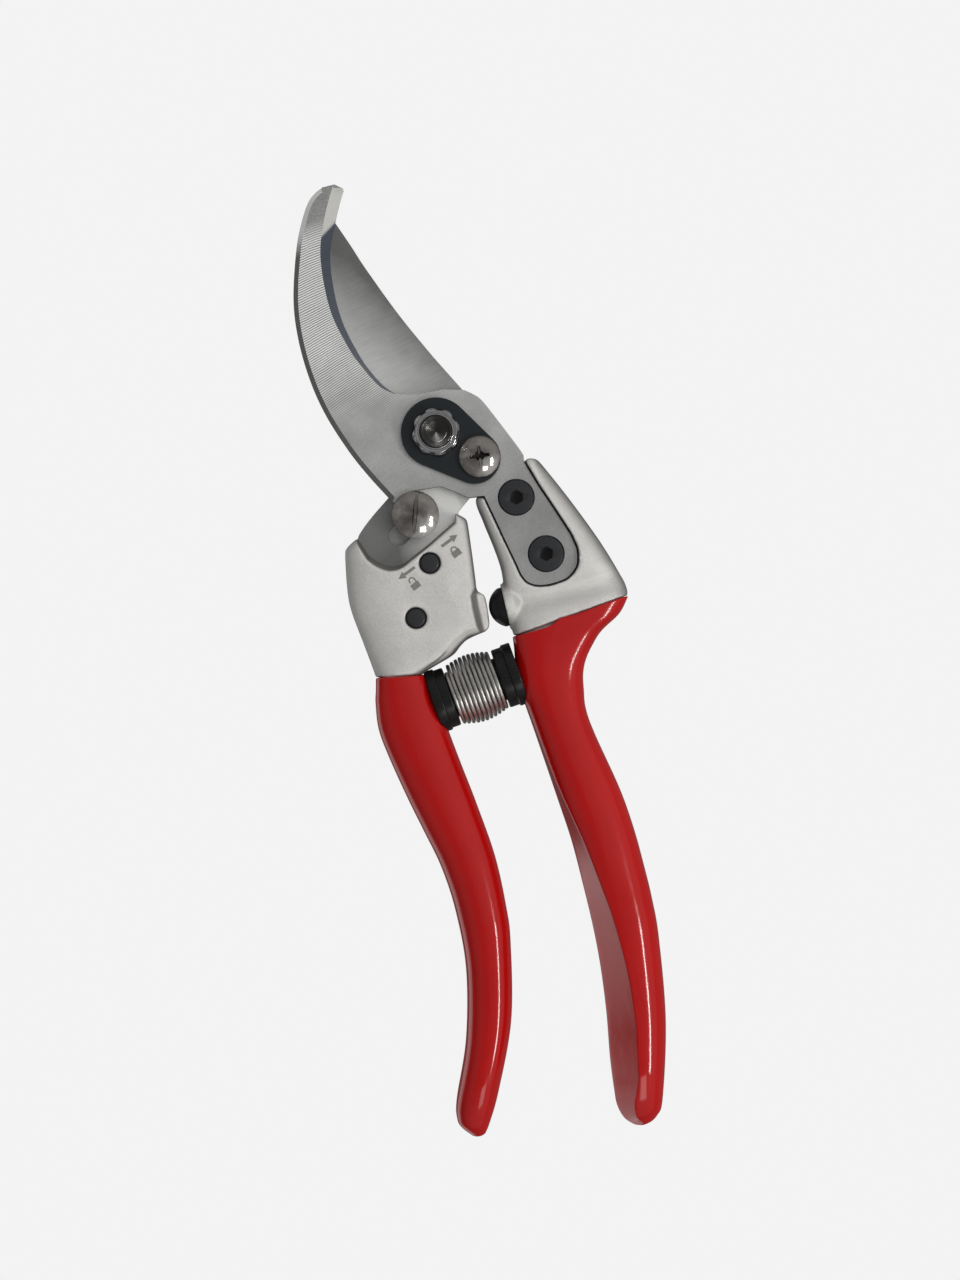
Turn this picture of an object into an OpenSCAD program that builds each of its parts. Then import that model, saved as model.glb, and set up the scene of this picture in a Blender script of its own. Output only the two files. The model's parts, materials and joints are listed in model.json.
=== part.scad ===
// Bypass pruning shears, closed and locked.
// The origin is on the pivot axis, at the flat back face of the bolt head.
// +Y runs to the tip, +Z comes out of the front, and +X is to the hook handle's side.

/* [Steel plates] */
// Height of the shearing plane, where the two plates slide on each other
shear_z = 7.5; // [7:0.1:8]
// Thickness of the hook plate
hook_t = 3.6; // [3:0.1:4]
// Thickness of the cutting blade
blade_t = 3; // [2.6:0.1:3.2]
// Width of the chamfer round the outside of the hook plate
hook_chamfer = 1; // [0.6:0.1:1.2]
// Width of the ground bevel behind the blade's edge
blade_bevel = 4.5; // [3:0.1:5]

/* [Handles] */
// Height of the castings' front face
cast_front = 12.4; // [12:0.1:13]
// Height of the castings' back face
cast_back = 2.6; // [2.2:0.1:3]
// Thickness of the dipped grip
grip_wall = 1.2; // [1:0.1:1.5]
// Gap between a grip and the casting inside it
grip_gap = 0.06; // [0.05:0.01:0.1]
// Gap round the hook plate's tang in its pocket
pocket_gap = 0.35; // [0.2:0.05:0.4]

/* [Pivot] */
// Radius of the bolt's shank
bolt_r = 4; // [3.5:0.1:4.2]
// Radius of the bolt's threaded end in the nut
thread_r = 3.2; // [3:0.1:3.4]
// Distance across the corners of the bolt's head
head_corners = 15; // [14:0.5:16]
// Radius over the nut's lobes
nut_r = 4.9; // [4.7:0.1:5]
// Height of the nut
nut_h = 4.2; // [3.5:0.1:4.5]
// Running clearance between the blade and the shank
running_gap = 0.05; // [0.03:0.01:0.08]

/* [Fasteners] */
// Radius of the handle screws' thread
screw_r = 2.05; // [2:0.05:2.1]
// Radius of the handle screws' countersunk head
screw_head_r = 3.7; // [3.5:0.1:3.8]
// Radius of the lock screw's pan head
pan_r = 4.2; // [4:0.1:4.3]

/* [Lock] */
// Radius of the stud's domed head
stud_head_r = 4.8; // [4.5:0.1:4.8]
// Radius of the stud's shank
stud_r = 2; // [1.8:0.05:2]
// Travel of the catch between locked and open
lock_travel = 5.3; // [5:0.1:5.4]

/* [Spring and bumper] */
// Outer radius of the barrel-shaped coil spring at its middle
spring_r = 7.1; // [6.8:0.1:7.1]
// Outer radius of the coil spring at its ends
spring_end_r = 6.1; // [6:0.1:6.3]
// Thickness of the spring's wire
wire_d = 0.95; // [0.8:0.05:1]
// Radius of the rubber bumper
bumper_r = 4; // [3.5:0.1:4]

/* [Hidden] */

$fn = 64;
// A small overshoot that keeps cut faces from lying on each other
over = 0.5;
// How far a straight side stays inside the round ends it joins
shy = 0.02;
// Sides of a handle's cross-section
sides = 24;

hook_front = shear_z + hook_t;
blade_front = shear_z - running_gap;
blade_back = blade_front - blade_t;

head_h = 3.9;
washer_z = head_h;
washer_t = blade_back - washer_z - running_gap;
washer_r = 7;
lock_plate_t = 1.2;
lock_plate_front = hook_front + lock_plate_t;
nut_z = hook_front;
lobes = 8;
lobe_cut_r = 0.95;
lobe_cut_at = nut_r + 0.45;

lock_screw_at = [7.46, -6.75];
lock_plate_big_r = 7.1;
lock_plate_small_r = 5.3;
lock_plate_small_at = [6.4, -6.7];

hook_screw_at = [[12.8, -16.4], [16.1, -28.9]];
blade_screw_at = [[-7.25, -25.4], [-12.5, -35.6]];
screw_head_h = 2.3;
screw_rim = 0.4;
// How far a screw's head sits below the plate's face
screw_sink = 0.1;
socket_af = 2.5;
socket_depth = 1.6;

stud_locked_at = [-7.9, -15.2];
lock_dir = [-0.807, -0.591];
stud_open_at = stud_locked_at + lock_travel * lock_dir;
slot_gap = 0.15;
stud_head_z = hook_front + 0.35;
slider_z = 1.2;
slider_t = 2.6;
slider_r = 4.4;
slide_plate_t = blade_back - slider_z - slider_t - running_gap;
// The slide plate's small end: its radius, and how far it is from the stud
slide_plate_small_r = 3;
slide_plate_small_at = 4.7;

spring_mid = [-3.8, -52.1, 7.2];
spring_tilt = 6;
cup_r = 6.5;
cup_boss_r = 4.4;
cup_boss_l = 2;
cup_stem_r = 2.4;
cup_stem_l = 3.5;
// Distance from the spring's middle to each cup's outer and inner face
blade_cup_out = 9.3;
blade_cup_in = 5.4;
hook_cup_out = 9.2;
hook_cup_in = 5.1;

bumper_at = [6.2, -37.4, 7.2];
bumper_h = 3.9;
bumper_stem_r = 2;
bumper_stem_l = 4.5;
// Height of the nose beside the raised plate on the blade handle's front
nose_z = 9.3;

// ---- Curves -------------------------------------------------------------------------

// One point of the curve between b and c, with the neighbours a and d
function blend_point(a, b, c, d, t) =
    0.5 * (2 * b + (c - a) * t + (2 * a - 5 * b + 4 * c - d) * t * t
        + (3 * b - a - 3 * c + d) * t * t * t);

// A smooth open curve through the points p
function curve(p, steps = 3) = [
    for (i = [0 : len(p) - 2], s = [0 : steps - 1])
        blend_point(p[max(i - 1, 0)], p[i], p[i + 1], p[min(i + 2, len(p) - 1)], s / steps),
    p[len(p) - 1]
];

function unit(v) = v / norm(v);
function mix(a, b, t) = a + (b - a) * t;

// The inward normal at point i of an outline that runs anticlockwise
function inward(p, i) =
    let (d = unit(p[(i + 1) % len(p)] - p[(i + len(p) - 1) % len(p)])) [-d[1], d[0]];

// The outline p made larger by d all round
function grown(p, d) = [for (i = [0 : len(p) - 1]) p[i] - d * inward(p, i)];

// ---- Hook plate outlines, anticlockwise from the tip ----------------------------------

hook_outer = curve([
    [-11.3, 53.65], [-12.5, 53.2], [-14.5, 51.6], [-16.6, 48.3], [-19.1, 42.8], [-22, 33],
    [-22.9, 24.9], [-22.5, 16.4], [-21, 8.7], [-18.25, 0.85], [-15.4, -5.2], [-11.8, -11.6]
]);

// The nose that the stud catches on, then the edge down to the tang
hook_notch = [
    [-10.8, -12.2], [-9.7, -11.2], [-8.3, -10.5], [-6.6, -10.3], [-1.6, -10.7], [0.9, -12.3],
    [3.5, -14.25], [6.6, -14.6]
];

tang_left = [[7.6, -19.1], [8.7, -24.4], [9.9, -29.8]];
tang_end = curve([
    [10.25, -31.8], [11.3, -33.7], [13.6, -34.8], [16.6, -34.95], [19.4, -34.4], [21.6, -32.4],
    [22.3, -29.3]
]);
tang_right = [[21.7, -26.2], [19.8, -20.9], [17.6, -15.1], [15.95, -9.9]];

// Right side, from the tang up to where the blade's spine comes out
hook_right = curve([
    [16.2, -8.5], [15.45, -6.5], [12.6, -0.1], [10.5, 4.3], [9.1, 5.9], [7.5, 7.15]
], 2);

// Inside of the hook on its back face, from the pivot boss up to the tip, where it shears
shear_start = [[3.6, 8.2], [-2.1, 8.5], [-5, 9.1]];
shear_edge = curve([
    [-6.1, 9.65], [-8.2, 12], [-10.2, 15.6], [-11.7, 19.5], [-13.4, 26.6], [-13.6, 34.1],
    [-12.6, 41], [-10.1, 46.8], [-8.2, 50.6], [-7.1, 52.5]
]);
hook_tip = [[-8.6, 53.7]];

// The same edge on the front face, further in, so that the wall between them is slanted
shear_edge_front = curve([
    [-6.3, 9.5], [-9.1, 11.9], [-11.7, 16.7], [-13.2, 20.4], [-15, 27.4], [-15.25, 34.1],
    [-14.5, 40.9], [-12.5, 46.6], [-10.4, 50.9], [-9.1, 53.1]
]);
// Height of the land under the slanted wall
shear_land = 0.2;

hook_outline = concat(
    hook_outer, hook_notch, tang_left, tang_end, tang_right, hook_right,
    shear_start, shear_edge, hook_tip
);

// ---- Cutting blade outlines, anticlockwise from the tip --------------------------------

blade_edge = curve([
    [-11.2, 45.9], [-14.4, 41.5], [-16.6, 35], [-17, 28], [-16, 20], [-14.2, 12], [-12.3, 5]
]);
blade_root = [[-11.4, 0.5], [-11.3, -5], [-12.2, -10.2]];
blade_tang = curve([
    [-15.85, -12.8], [-18.75, -15.15], [-20.5, -17.2], [-20.6, -20.2], [-19.7, -26.5], [-18.4, -33.5],
    [-16.3, -39], [-12.4, -40.9], [-8.4, -38.6], [-5.6, -33.5], [-3.3, -27.5], [-1.2, -21.5],
    [0.9, -16.2]
]);
blade_heel = curve([[4.6, -13.4], [8.2, -8.4], [10.3, -3.5], [10, 1.5], [7.5, 7.1]]);
blade_spine = curve([[2.9, 15.6], [-1.8, 25.2], [-6.25, 35.9], [-8.2, 41.3], [-10.2, 46.5]]);
blade_outline = concat(blade_edge, blade_root, blade_tang, blade_heel, blade_spine);

// Width of the bevel behind the edge, less at the tip and none at the root
bevel_widths = [
    for (i = [0 : len(blade_edge) - 1])
        let (t = i / (len(blade_edge) - 1)) blade_bevel * min(1, 0.1 + 2 * t, 5.1 - 5 * t)
];
// Thickness left at the cutting edge
edge_t = 0.3;

// ---- Handle rails: [y, value] from the top down ----------------------------------------

function rail(p) = curve(p, 4);

blade_cast_left = rail([
    [-16.8, -20.1], [-17.6, -21.7], [-18.5, -23.1], [-19.6, -23.7], [-26.6, -24.9], [-31.2, -25.1],
    [-38.2, -24.2], [-45, -23.35], [-48, -23.3]
]);
blade_cast_right = rail([
    [-16.8, 0.2], [-17.6, 1.2], [-18.5, 2], [-19.7, 2], [-25.5, 1.5], [-30.5, 1], [-33, 0.8],
    [-34, 1.9], [-35.5, 2.1], [-38.5, 1.9], [-40.6, 1.5], [-41.6, 0.1], [-42, -3.1],
    [-43.3, -5.3], [-44.7, -7.2], [-46.7, -13.3], [-48, -13.4]
]);
blade_cast_back = [[-16, cast_back], [-38, cast_back], [-46, 1.4]];
blade_cast_front = [[-16, cast_front], [-40, cast_front], [-46, 13]];

blade_grip_left = rail([
    [-44, -23.1], [-47.8, -24], [-50.5, -24.7], [-55.8, -25.3], [-61.6, -24.6], [-70.7, -22.8],
    [-78, -21.1], [-86, -19.3], [-95.3, -18.5], [-107.3, -19.1], [-121.3, -22.4], [-132.7, -27],
    [-136.7, -27.85], [-138.7, -27.3], [-141.2, -25.2]
]);
blade_grip_right = rail([
    [-44, -14.4], [-47, -13.65], [-50.8, -12.7], [-55.1, -11.9], [-59.8, -11.3], [-66.7, -10.3],
    [-74.7, -9.1], [-86, -7.8], [-96.7, -7.9], [-104, -8.7], [-119.3, -12.15], [-132.7, -17.9],
    [-138.7, -21.2], [-141.2, -23]
]);
blade_grip_back = rail([
    [-44, 1.1], [-50, 0.8], [-60, 0.4], [-80, 0.1], [-100, 0], [-126, 0.1], [-133, 0.9],
    [-138.2, 2.9], [-141.2, 5.6]
]);
blade_grip_front = rail([
    [-44, 13.3], [-50, 13.6], [-60, 14], [-80, 14.4], [-100, 14.5], [-126, 14.3], [-133, 13.5],
    [-138.2, 11.5], [-141.2, 8.8]
]);

hook_cast_left = rail([
    [-9.3, 15.9], [-11.1, 12.2], [-13, 8.3], [-14.7, 4.8], [-19.7, 5.2], [-24.7, 6], [-29.3, 6.5],
    [-33, 6.35], [-41.6, 6], [-44, 5.8], [-48, 5.3]
]);
hook_cast_right = rail([
    [-9.3, 17.5], [-9.8, 18.7], [-12.3, 20.1], [-18.4, 23], [-25.1, 25.9], [-30.5, 28],
    [-36.3, 29.9], [-38.6, 30.5], [-41, 30.3], [-44, 28]
]);
hook_cast_back = [[-9, cast_back], [-34, cast_back], [-42, 1.4]];
hook_cast_front = rail([
    [-9.3, 11.6], [-12, cast_front], [-20, cast_front], [-32, cast_front], [-36.8, 11.3],
    [-40.5, 12.6], [-44, 13]
]);

hook_grip_left = rail([
    [-40, 5.9], [-44.7, 5.6], [-50.5, 4.8], [-54.3, 4.6], [-57.8, 5], [-64.7, 5.7], [-78, 6.95],
    [-87.3, 7.75], [-96.7, 7.95], [-105.3, 7.95], [-113.3, 7.6], [-122.7, 6.65], [-132, 5.25],
    [-139, 4.55], [-142, 4.5], [-144.7, 5.4], [-146.6, 7.5]
]);
hook_grip_right = rail([
    [-40, 31.2], [-41.3, 30.4], [-44.1, 28], [-46.6, 23.8], [-48.9, 21.4], [-51.6, 19.3],
    [-54.3, 18.1], [-57.4, 17.5], [-61.3, 17], [-66.7, 17.6], [-78.7, 20], [-87.3, 20.95],
    [-95.3, 21.25], [-102, 21.3], [-110, 20.85], [-126.7, 18.4], [-142, 14.2], [-145.3, 12.3],
    [-146.6, 10.2]
]);
hook_grip_back = rail([
    [-40, 1.3], [-50, 0.8], [-60, 0.4], [-80, 0.1], [-100, 0], [-130, 0.1], [-138, 0.9],
    [-143.5, 2.9], [-146.6, 5.8]
]);
hook_grip_front = rail([
    [-40, 13.1], [-50, 13.6], [-60, 14], [-80, 14.4], [-100, 14.5], [-130, 14.3], [-138, 13.5],
    [-143.5, 11.5], [-146.6, 8.6]
]);

// Depth of the flat facet down a grip's inner side
facet_depth = [[-58, 0], [-75, 1.2], [-87, 2.6], [-102, 4.2], [-117, 5.2], [-134, 5.8], [-147, 2]];
// Squareness of a handle's cross-section
squareness = [[-9, 5], [-34, 5], [-44, 3.2], [-56, 2.6], [-80, 2.35], [-150, 2.2]];

// A handle's rails: left, right, back, front, and which side has the facet
blade_cast_rails = [blade_cast_left, blade_cast_right, blade_cast_back, blade_cast_front, 0];
blade_grip_rails = [blade_grip_left, blade_grip_right, blade_grip_back, blade_grip_front, 1];
hook_cast_rails = [hook_cast_left, hook_cast_right, hook_cast_back, hook_cast_front, 0];
hook_grip_rails = [hook_grip_left, hook_grip_right, hook_grip_back, hook_grip_front, -1];

// Where each grip starts, how far that border slants, and where the grip ends
blade_border = -46.35;
blade_slant = -0.75;
blade_end = -141.2;
hook_border = -42.35;
hook_slant = 1.35;
hook_end = -146.6;

// ---- Handle surfaces ---------------------------------------------------------------------

// Cosine or sine bent towards a box, squarer with a larger n
function squared(c, n) = sign(c) * pow(abs(c), 2 / n);

// Depth of the facet at height z: the hook's faces the front, the blade's the back
function facet_at(y, z, low, high, width, side) =
    let (up = side < 0 ? z - low : high - z)
    min(lookup(y, facet_depth), 0.45 * width) * (up / (high - low) - 0.3) / 0.65;

// One point of the ring round a handle, inset from its surface
function handle_point(rails, y, slant, a, inset) =
    let (
        n = lookup(y, squareness),
        c = squared(cos(a), n),
        at = y + slant * c,
        left = lookup(at, rails[0]) + inset,
        right = lookup(at, rails[1]) - inset,
        low = lookup(at, rails[2]) + inset,
        high = lookup(at, rails[3]) - inset,
        x = (left + right) / 2 + c * (right - left) / 2,
        z = (low + high) / 2 + squared(sin(a), n) * (high - low) / 2,
        facet = facet_at(at, z, low, high, right - left, rails[4]),
        cut_x = rails[4] < 0 ? max(x, left + facet) : min(x, right - facet)
    )
    [rails[4] == 0 ? x : cut_x, at, z];

function handle_ring(rails, y, slant, inset) =
    [for (k = [0 : sides - 1]) handle_point(rails, y, slant, (k + 0.5) * 360 / sides, inset)];

// Heights of a grip's rings, closer together at both ends
function grip_ys(border, end, count) = [
    for (s = [0 : count])
        let (t = s / count) mix(border, end, t - 0.09 * sin(360 * t))
];

// Rings down a grip, whose slant fades out below the border
function grip_rings(rails, border, slant, end, inset, count) = [
    for (y = grip_ys(border, end, count))
        handle_ring(rails, y, slant * max(0, 1 - (border - y) / 12), inset)
];

// Closed solid through rings of equal length, anticlockwise seen from the last one
module skin(rings) {
    n = len(rings[0]);
    last = len(rings) - 1;
    polyhedron(
        points = [for (r = rings) each r],
        faces = concat(
            [[for (k = [0 : n - 1]) k]],
            [for (i = [0 : last - 1], k = [0 : n - 1]) each [
                [i * n + k, (i + 1) * n + k, i * n + (k + 1) % n],
                [i * n + (k + 1) % n, (i + 1) * n + k, (i + 1) * n + (k + 1) % n]
            ]],
            [[for (k = [n - 1 : -1 : 0]) last * n + k]]
        )
    );
}

// Cuts the edge of a plate to a slope, from the points edge at the height edge_z
// to the points inner on the face at the height face_z
module edge_cut(edge, inner, edge_z, face_z) {
    past = 0.3;
    skin([
        for (i = [0 : len(edge) - 1])
            let (
                k = [edge[i][0], edge[i][1], edge_z],
                f = [inner[i][0], inner[i][1], face_z],
                low = k + past * (k - f),
                high = f + past * (f - k),
                corner = [low[0], low[1], high[2]]
            )
            face_z > edge_z ? [high, corner, low] : [high, low, corner]
    ]);
}

// A casting: its own rings, a step in at the grip's border, then the core inside the grip
module casting(rails, ys, grip_rails, border, slant, end) {
    inset = grip_wall + grip_gap;
    step_y = border + 0.1;
    skin(concat(
        [for (y = ys) handle_ring(rails, y, slant * max(0, 1 - (y - step_y) / 6), 0)],
        [handle_ring(rails, step_y, slant, 0), handle_ring(grip_rails, step_y, slant, inset)],
        [for (i = [1 : 17])
            let (y = grip_ys(border, end + 2, 17)[i])
            handle_ring(grip_rails, y, slant * max(0, 1 - (border - y) / 12), inset)]
    ));
}

// A grip: up the inside from its blind end, over the border, and down the outside
module grip(rails, border, slant, end) {
    inner = grip_rings(rails, border, slant, end + 1.6, grip_wall, 17);
    outer = grip_rings(rails, border, slant, end, 0, 22);
    skin(concat([for (i = [len(inner) - 1 : -1 : 0]) inner[i]], outer));
}

// ---- Small shared shapes ------------------------------------------------------------------

module slab(points, z0, z1) {
    translate([0, 0, z0]) linear_extrude(z1 - z0) polygon(points);
}

module rod(at, r, z0, z1) {
    translate([at[0], at[1], z0]) cylinder(r = r, h = z1 - z0);
}

// Flat plate round two circles, the first one larger, with straight sides between them
module teardrop(big_at, big_r, small_at, small_r, z0, z1) {
    way = small_at - big_at;
    along = atan2(way[1], way[0]);
    side = acos((big_r - small_r) / norm(way));
    rod(big_at, big_r, z0, z1);
    rod(small_at, small_r, z0, z1);
    slab([
        for (e = [[0, 1], [0, -1], [1, -1], [1, 1]])
            let (a = along + e[1] * side)
            (e[0] == 0 ? big_at : small_at)
                + ((e[0] == 0 ? big_r : small_r) - shy) * [cos(a), sin(a)]
    ], z0, z1);
}

// Domed head: a straight rim of height rim, then an arc up to height h
module dome(r, rim, h) {
    big_r = (r * r + (h - rim) * (h - rim)) / (2 * (h - rim));
    span = asin(r / big_r);
    rotate_extrude() polygon(concat(
        [[0, 0], [r, 0]],
        [for (i = [0 : 8])
            let (a = span * (1 - i / 8)) [big_r * sin(a), h - big_r * (1 - cos(a))]]
    ));
}

module hex_socket(depth) {
    cylinder(r = socket_af / 2 / cos(30), h = depth, $fn = 6);
}

// Countersunk screw whose head faces +Z at the origin, of overall length l
module countersunk_screw(l) {
    difference() {
        union() {
            translate([0, 0, -screw_head_h])
                cylinder(r1 = screw_r, r2 = screw_head_r, h = screw_head_h - screw_rim);
            translate([0, 0, -screw_rim]) cylinder(r = screw_head_r, h = screw_rim);
            translate([0, 0, -l]) cylinder(r = screw_r, h = l - screw_head_h);
        }
        translate([0, 0, -socket_depth]) hex_socket(socket_depth + over);
    }
}

// The hole that the screw above fits, with a little room all round
module countersink(l) {
    room = 0.04;
    translate([0, 0, -screw_head_h])
        cylinder(r1 = screw_r + room, r2 = screw_head_r + room, h = screw_head_h - screw_rim);
    translate([0, 0, -screw_rim]) cylinder(r = screw_head_r + room, h = screw_rim + over);
    translate([0, 0, -l]) cylinder(r = screw_r + room, h = l - screw_head_h + 0.01);
}

// Puts its children on the spring's axis, which points at the hook handle
module on_spring_axis(along) {
    translate(spring_mid) rotate([0, 0, spring_tilt]) translate([along, 0, 0])
        rotate([0, 90, 0]) children();
}

// Spring cup with its flange at the origin: +Z is towards the spring
module spring_cup(thick) {
    cylinder(r = cup_r, h = thick);
    translate([0, 0, thick]) cylinder(r1 = cup_boss_r, r2 = cup_boss_r - 0.4, h = cup_boss_l);
    translate([0, 0, -cup_stem_l]) cylinder(r = cup_stem_r, h = cup_stem_l + 0.01);
}

// The bore that the cup's stem is pressed into
module stem_bore() {
    translate([0, 0, -cup_stem_l - 0.1]) cylinder(r = cup_stem_r + 0.02, h = cup_stem_l + 4);
}

// The flat seat that the cup takes out of a grip
module cup_seat() {
    cylinder(r = cup_r + 0.05, h = 6);
    stem_bore();
}

// Scallops round the nut, made smaller by d
module lobe_cuts(h, d) {
    for (i = [0 : lobes - 1])
        rotate([0, 0, i * 360 / lobes]) translate([lobe_cut_at, 0, 0])
            cylinder(r = lobe_cut_r - d, h = h);
}

// ---- Hook side ------------------------------------------------------------------------------

module hook_blade() {
    chamfered = [
        for (i = [0 : len(hook_outer) - 1])
            hook_outer[i] + hook_chamfer * inward(hook_outline, max(i, 1))
    ];
    color("silver") difference() {
        slab(hook_outline, shear_z, hook_front);
        edge_cut(shear_edge, shear_edge_front, shear_z + shear_land, hook_front);
        edge_cut(hook_outer, chamfered, hook_front - hook_chamfer, hook_front);
        rod([0, 0], bolt_r + 0.02, shear_z - over, hook_front + over);
        rod(lock_screw_at, screw_r + 0.02, shear_z - over, hook_front + over);
        for (p = hook_screw_at)
            translate([p[0], p[1], hook_front - screw_sink]) countersink(hook_t + over);
    }
}

module hook_handle() {
    ys = [-9.3, -9.8, -10.8, -12.8, -14.7, -15.5, -20, -25, -30, -33, -36, -38.5, -40.5];
    pocket = grown(concat(
        [[13, -4], [3, -8], [3, -14.3], [6.6, -14.7]], tang_left, tang_end, tang_right,
        [[16.2, -8.5]]
    ), pocket_gap);
    color("lightgray") difference() {
        casting(hook_cast_rails, ys, hook_grip_rails, hook_border, hook_slant, hook_end);
        slab(pocket, shear_z - 0.03, cast_front + over);
        for (p = hook_screw_at) rod(p, screw_r + 0.02, 0, shear_z + over);
        translate(bumper_at) rotate([0, -90, 0]) {
            cylinder(r = bumper_r + 0.4, h = bumper_h);
            translate([0, 0, -bumper_stem_l - 0.1])
                cylinder(r = bumper_stem_r, h = bumper_stem_l + over);
        }
        on_spring_axis(hook_cup_out) rotate([180, 0, 0]) stem_bore();
    }
}

module hook_grip() {
    color("red") difference() {
        grip(hook_grip_rails, hook_border, hook_slant, hook_end);
        on_spring_axis(hook_cup_out) rotate([180, 0, 0]) cup_seat();
    }
}

module hook_screw(i) {
    color("dimgray") translate([hook_screw_at[i][0], hook_screw_at[i][1], hook_front - screw_sink])
        countersunk_screw(hook_front - screw_sink - cast_back - 0.2);
}

module hook_screw_upper() {
    hook_screw(0);
}

module hook_screw_lower() {
    hook_screw(1);
}

module bumper() {
    color("black") translate(bumper_at) rotate([0, -90, 0]) {
        dome(bumper_r, 0.8, bumper_h);
        translate([0, 0, -bumper_stem_l]) cylinder(r = bumper_stem_r, h = bumper_stem_l + 0.01);
    }
}

module spring_cup_hook_side() {
    color("black") on_spring_axis(hook_cup_out) rotate([180, 0, 0])
        spring_cup(hook_cup_out - hook_cup_in);
}

module pivot_bolt() {
    end_z = nut_z + nut_h + 0.7;
    chamfer = 0.8;
    color("gray") {
        intersection() {
            cylinder(r = head_corners / 2, h = head_h, $fn = 6);
            union() {
                cylinder(r1 = head_corners / 2 - 1, r2 = head_corners / 2, h = 0.8);
                translate([0, 0, 0.8]) cylinder(r = head_corners / 2, h = head_h);
            }
        }
        rod([0, 0], bolt_r, head_h - 0.1, hook_front - 0.05);
        rod([0, 0], thread_r, hook_front - 0.1, end_z - chamfer);
        translate([0, 0, end_z - chamfer]) cylinder(r1 = thread_r, r2 = thread_r - 1, h = chamfer);
    }
}

module pivot_washer() {
    color("goldenrod") difference() {
        rod([0, 0], washer_r, washer_z, washer_z + washer_t);
        rod([0, 0], bolt_r + 0.05, washer_z - over, washer_z + washer_t + over);
    }
}

module pivot_nut() {
    rim = 0.9;
    color("white") difference() {
        translate([0, 0, nut_z]) rotate_extrude() polygon([
            [thread_r + 0.02, 0], [nut_r, 0], [nut_r, nut_h - rim - 0.3], [nut_r - 0.4, nut_h - 0.4],
            [nut_r - rim, nut_h], [thread_r + 0.6, nut_h], [thread_r + 0.02, nut_h - 0.5]
        ]);
        translate([0, 0, nut_z - over]) lobe_cuts(nut_h + 2 * over, 0);
    }
}

module nut_lock_plate() {
    color("black") difference() {
        teardrop(
            [0, 0], lock_plate_big_r, lock_plate_small_at, lock_plate_small_r,
            hook_front, lock_plate_front
        );
        difference() {
            rod([0, 0], nut_r + 0.05, hook_front - over, lock_plate_front + over);
            translate([0, 0, hook_front - 2 * over]) lobe_cuts(lock_plate_t + 4 * over, 0.05);
        }
        rod(lock_screw_at, screw_r + 0.02, hook_front - over, lock_plate_front + over);
    }
}

module nut_lock_screw() {
    head_top = 2.6;
    color("whitesmoke") translate([lock_screw_at[0], lock_screw_at[1], lock_plate_front]) {
        difference() {
            dome(pan_r, 0.7, head_top);
            for (a = [20, 110])
                rotate([0, 0, a]) translate([-2.1, -0.4, head_top - 1.3]) cube([4.2, 0.8, 3]);
        }
        translate([0, 0, shear_z + 0.1 - lock_plate_front])
            cylinder(r = screw_r, h = lock_plate_front - shear_z - 0.09);
    }
}

// ---- Blade side -------------------------------------------------------------------------------

module lock_slot(gap, z0, z1) {
    rod(stud_locked_at, stud_r + gap, z0, z1);
    rod(stud_open_at, stud_r + gap, z0, z1);
    translate([stud_locked_at[0], stud_locked_at[1], z0])
        rotate([0, 0, atan2(lock_dir[1], lock_dir[0])])
            translate([0, -stud_r - gap + shy, 0])
                cube([lock_travel, 2 * (stud_r + gap - shy), z1 - z0]);
}

module cutting_blade() {
    bevelled = [
        for (i = [0 : len(blade_edge) - 1])
            blade_edge[i] + bevel_widths[i] * inward(blade_outline, max(i, 1))
    ];
    color("gainsboro") difference() {
        slab(blade_outline, blade_back, blade_front);
        edge_cut(blade_edge, bevelled, blade_front - edge_t, blade_back);
        rod([0, 0], bolt_r + running_gap, blade_back - over, blade_front + over);
        lock_slot(slot_gap, blade_back - over, blade_front + over);
        for (p = blade_screw_at)
            translate([p[0], p[1], blade_back + screw_sink]) rotate([180, 0, 0])
                countersink(blade_t + over);
    }
}

// Hollow that the lock's parts move in, above the blade handle's top edge
scoop = concat([[-20.6, -14], [-20.4, -17.2]], curve([
    [-18.9, -21.2], [-17, -23.1], [-14.9, -24.2], [-12.6, -24.2], [-10.2, -23.1], [-6.6, -21.4],
    [-3.4, -19.7], [0.2, -17.8]
]), [[0.4, -14]]);

// Low nose beside the raised plate on the blade handle's front
nose = [[4, -32.4], [0.9, -32.5], [0, -33.6], [-0.2, -36], [-0.2, -44], [4, -44]];

// Sloped rim below the plate, along the handle's edge and along the face
rim = [[-13.1, -46.9], [-10.2, -45.95], [-7.3, -44.9], [-5.4, -43.5], [-3.1, -42.15], [2.5, -41.8]];
rim_top = [
    [-13.3, -45.9], [-10.6, -44.6], [-7.9, -43.1], [-6.1, -41.5], [-3.6, -40.1], [2, -39.7]
];

module blade_handle() {
    ys = [
        -16.9, -17.4, -18.2, -19.6, -23, -28, -32.5, -33.4, -34.5, -38.5, -40.6, -41.2, -41.6,
        -42.1, -43.3, -44.7
    ];
    color("lightgray") difference() {
        casting(blade_cast_rails, ys, blade_grip_rails, blade_border, blade_slant, blade_end);
        slab(scoop, 0, cast_front + over);
        slab(nose, nose_z, cast_front + 2);
        edge_cut(rim, rim_top, cast_front - 2.6, cast_front);
        slab(grown(blade_tang, pocket_gap), 0, shear_z);
        for (p = blade_screw_at) rod(p, screw_r + 0.02, shear_z - over, cast_front + over);
        on_spring_axis(-blade_cup_out) stem_bore();
    }
}

module blade_grip() {
    color("red") difference() {
        grip(blade_grip_rails, blade_border, blade_slant, blade_end);
        on_spring_axis(-blade_cup_out) cup_seat();
    }
}

module blade_screw(i) {
    color("dimgray") translate([blade_screw_at[i][0], blade_screw_at[i][1], blade_back + screw_sink])
        rotate([180, 0, 0]) countersunk_screw(cast_front - 0.15 - blade_back - screw_sink);
}

module blade_screw_upper() {
    blade_screw(0);
}

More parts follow.
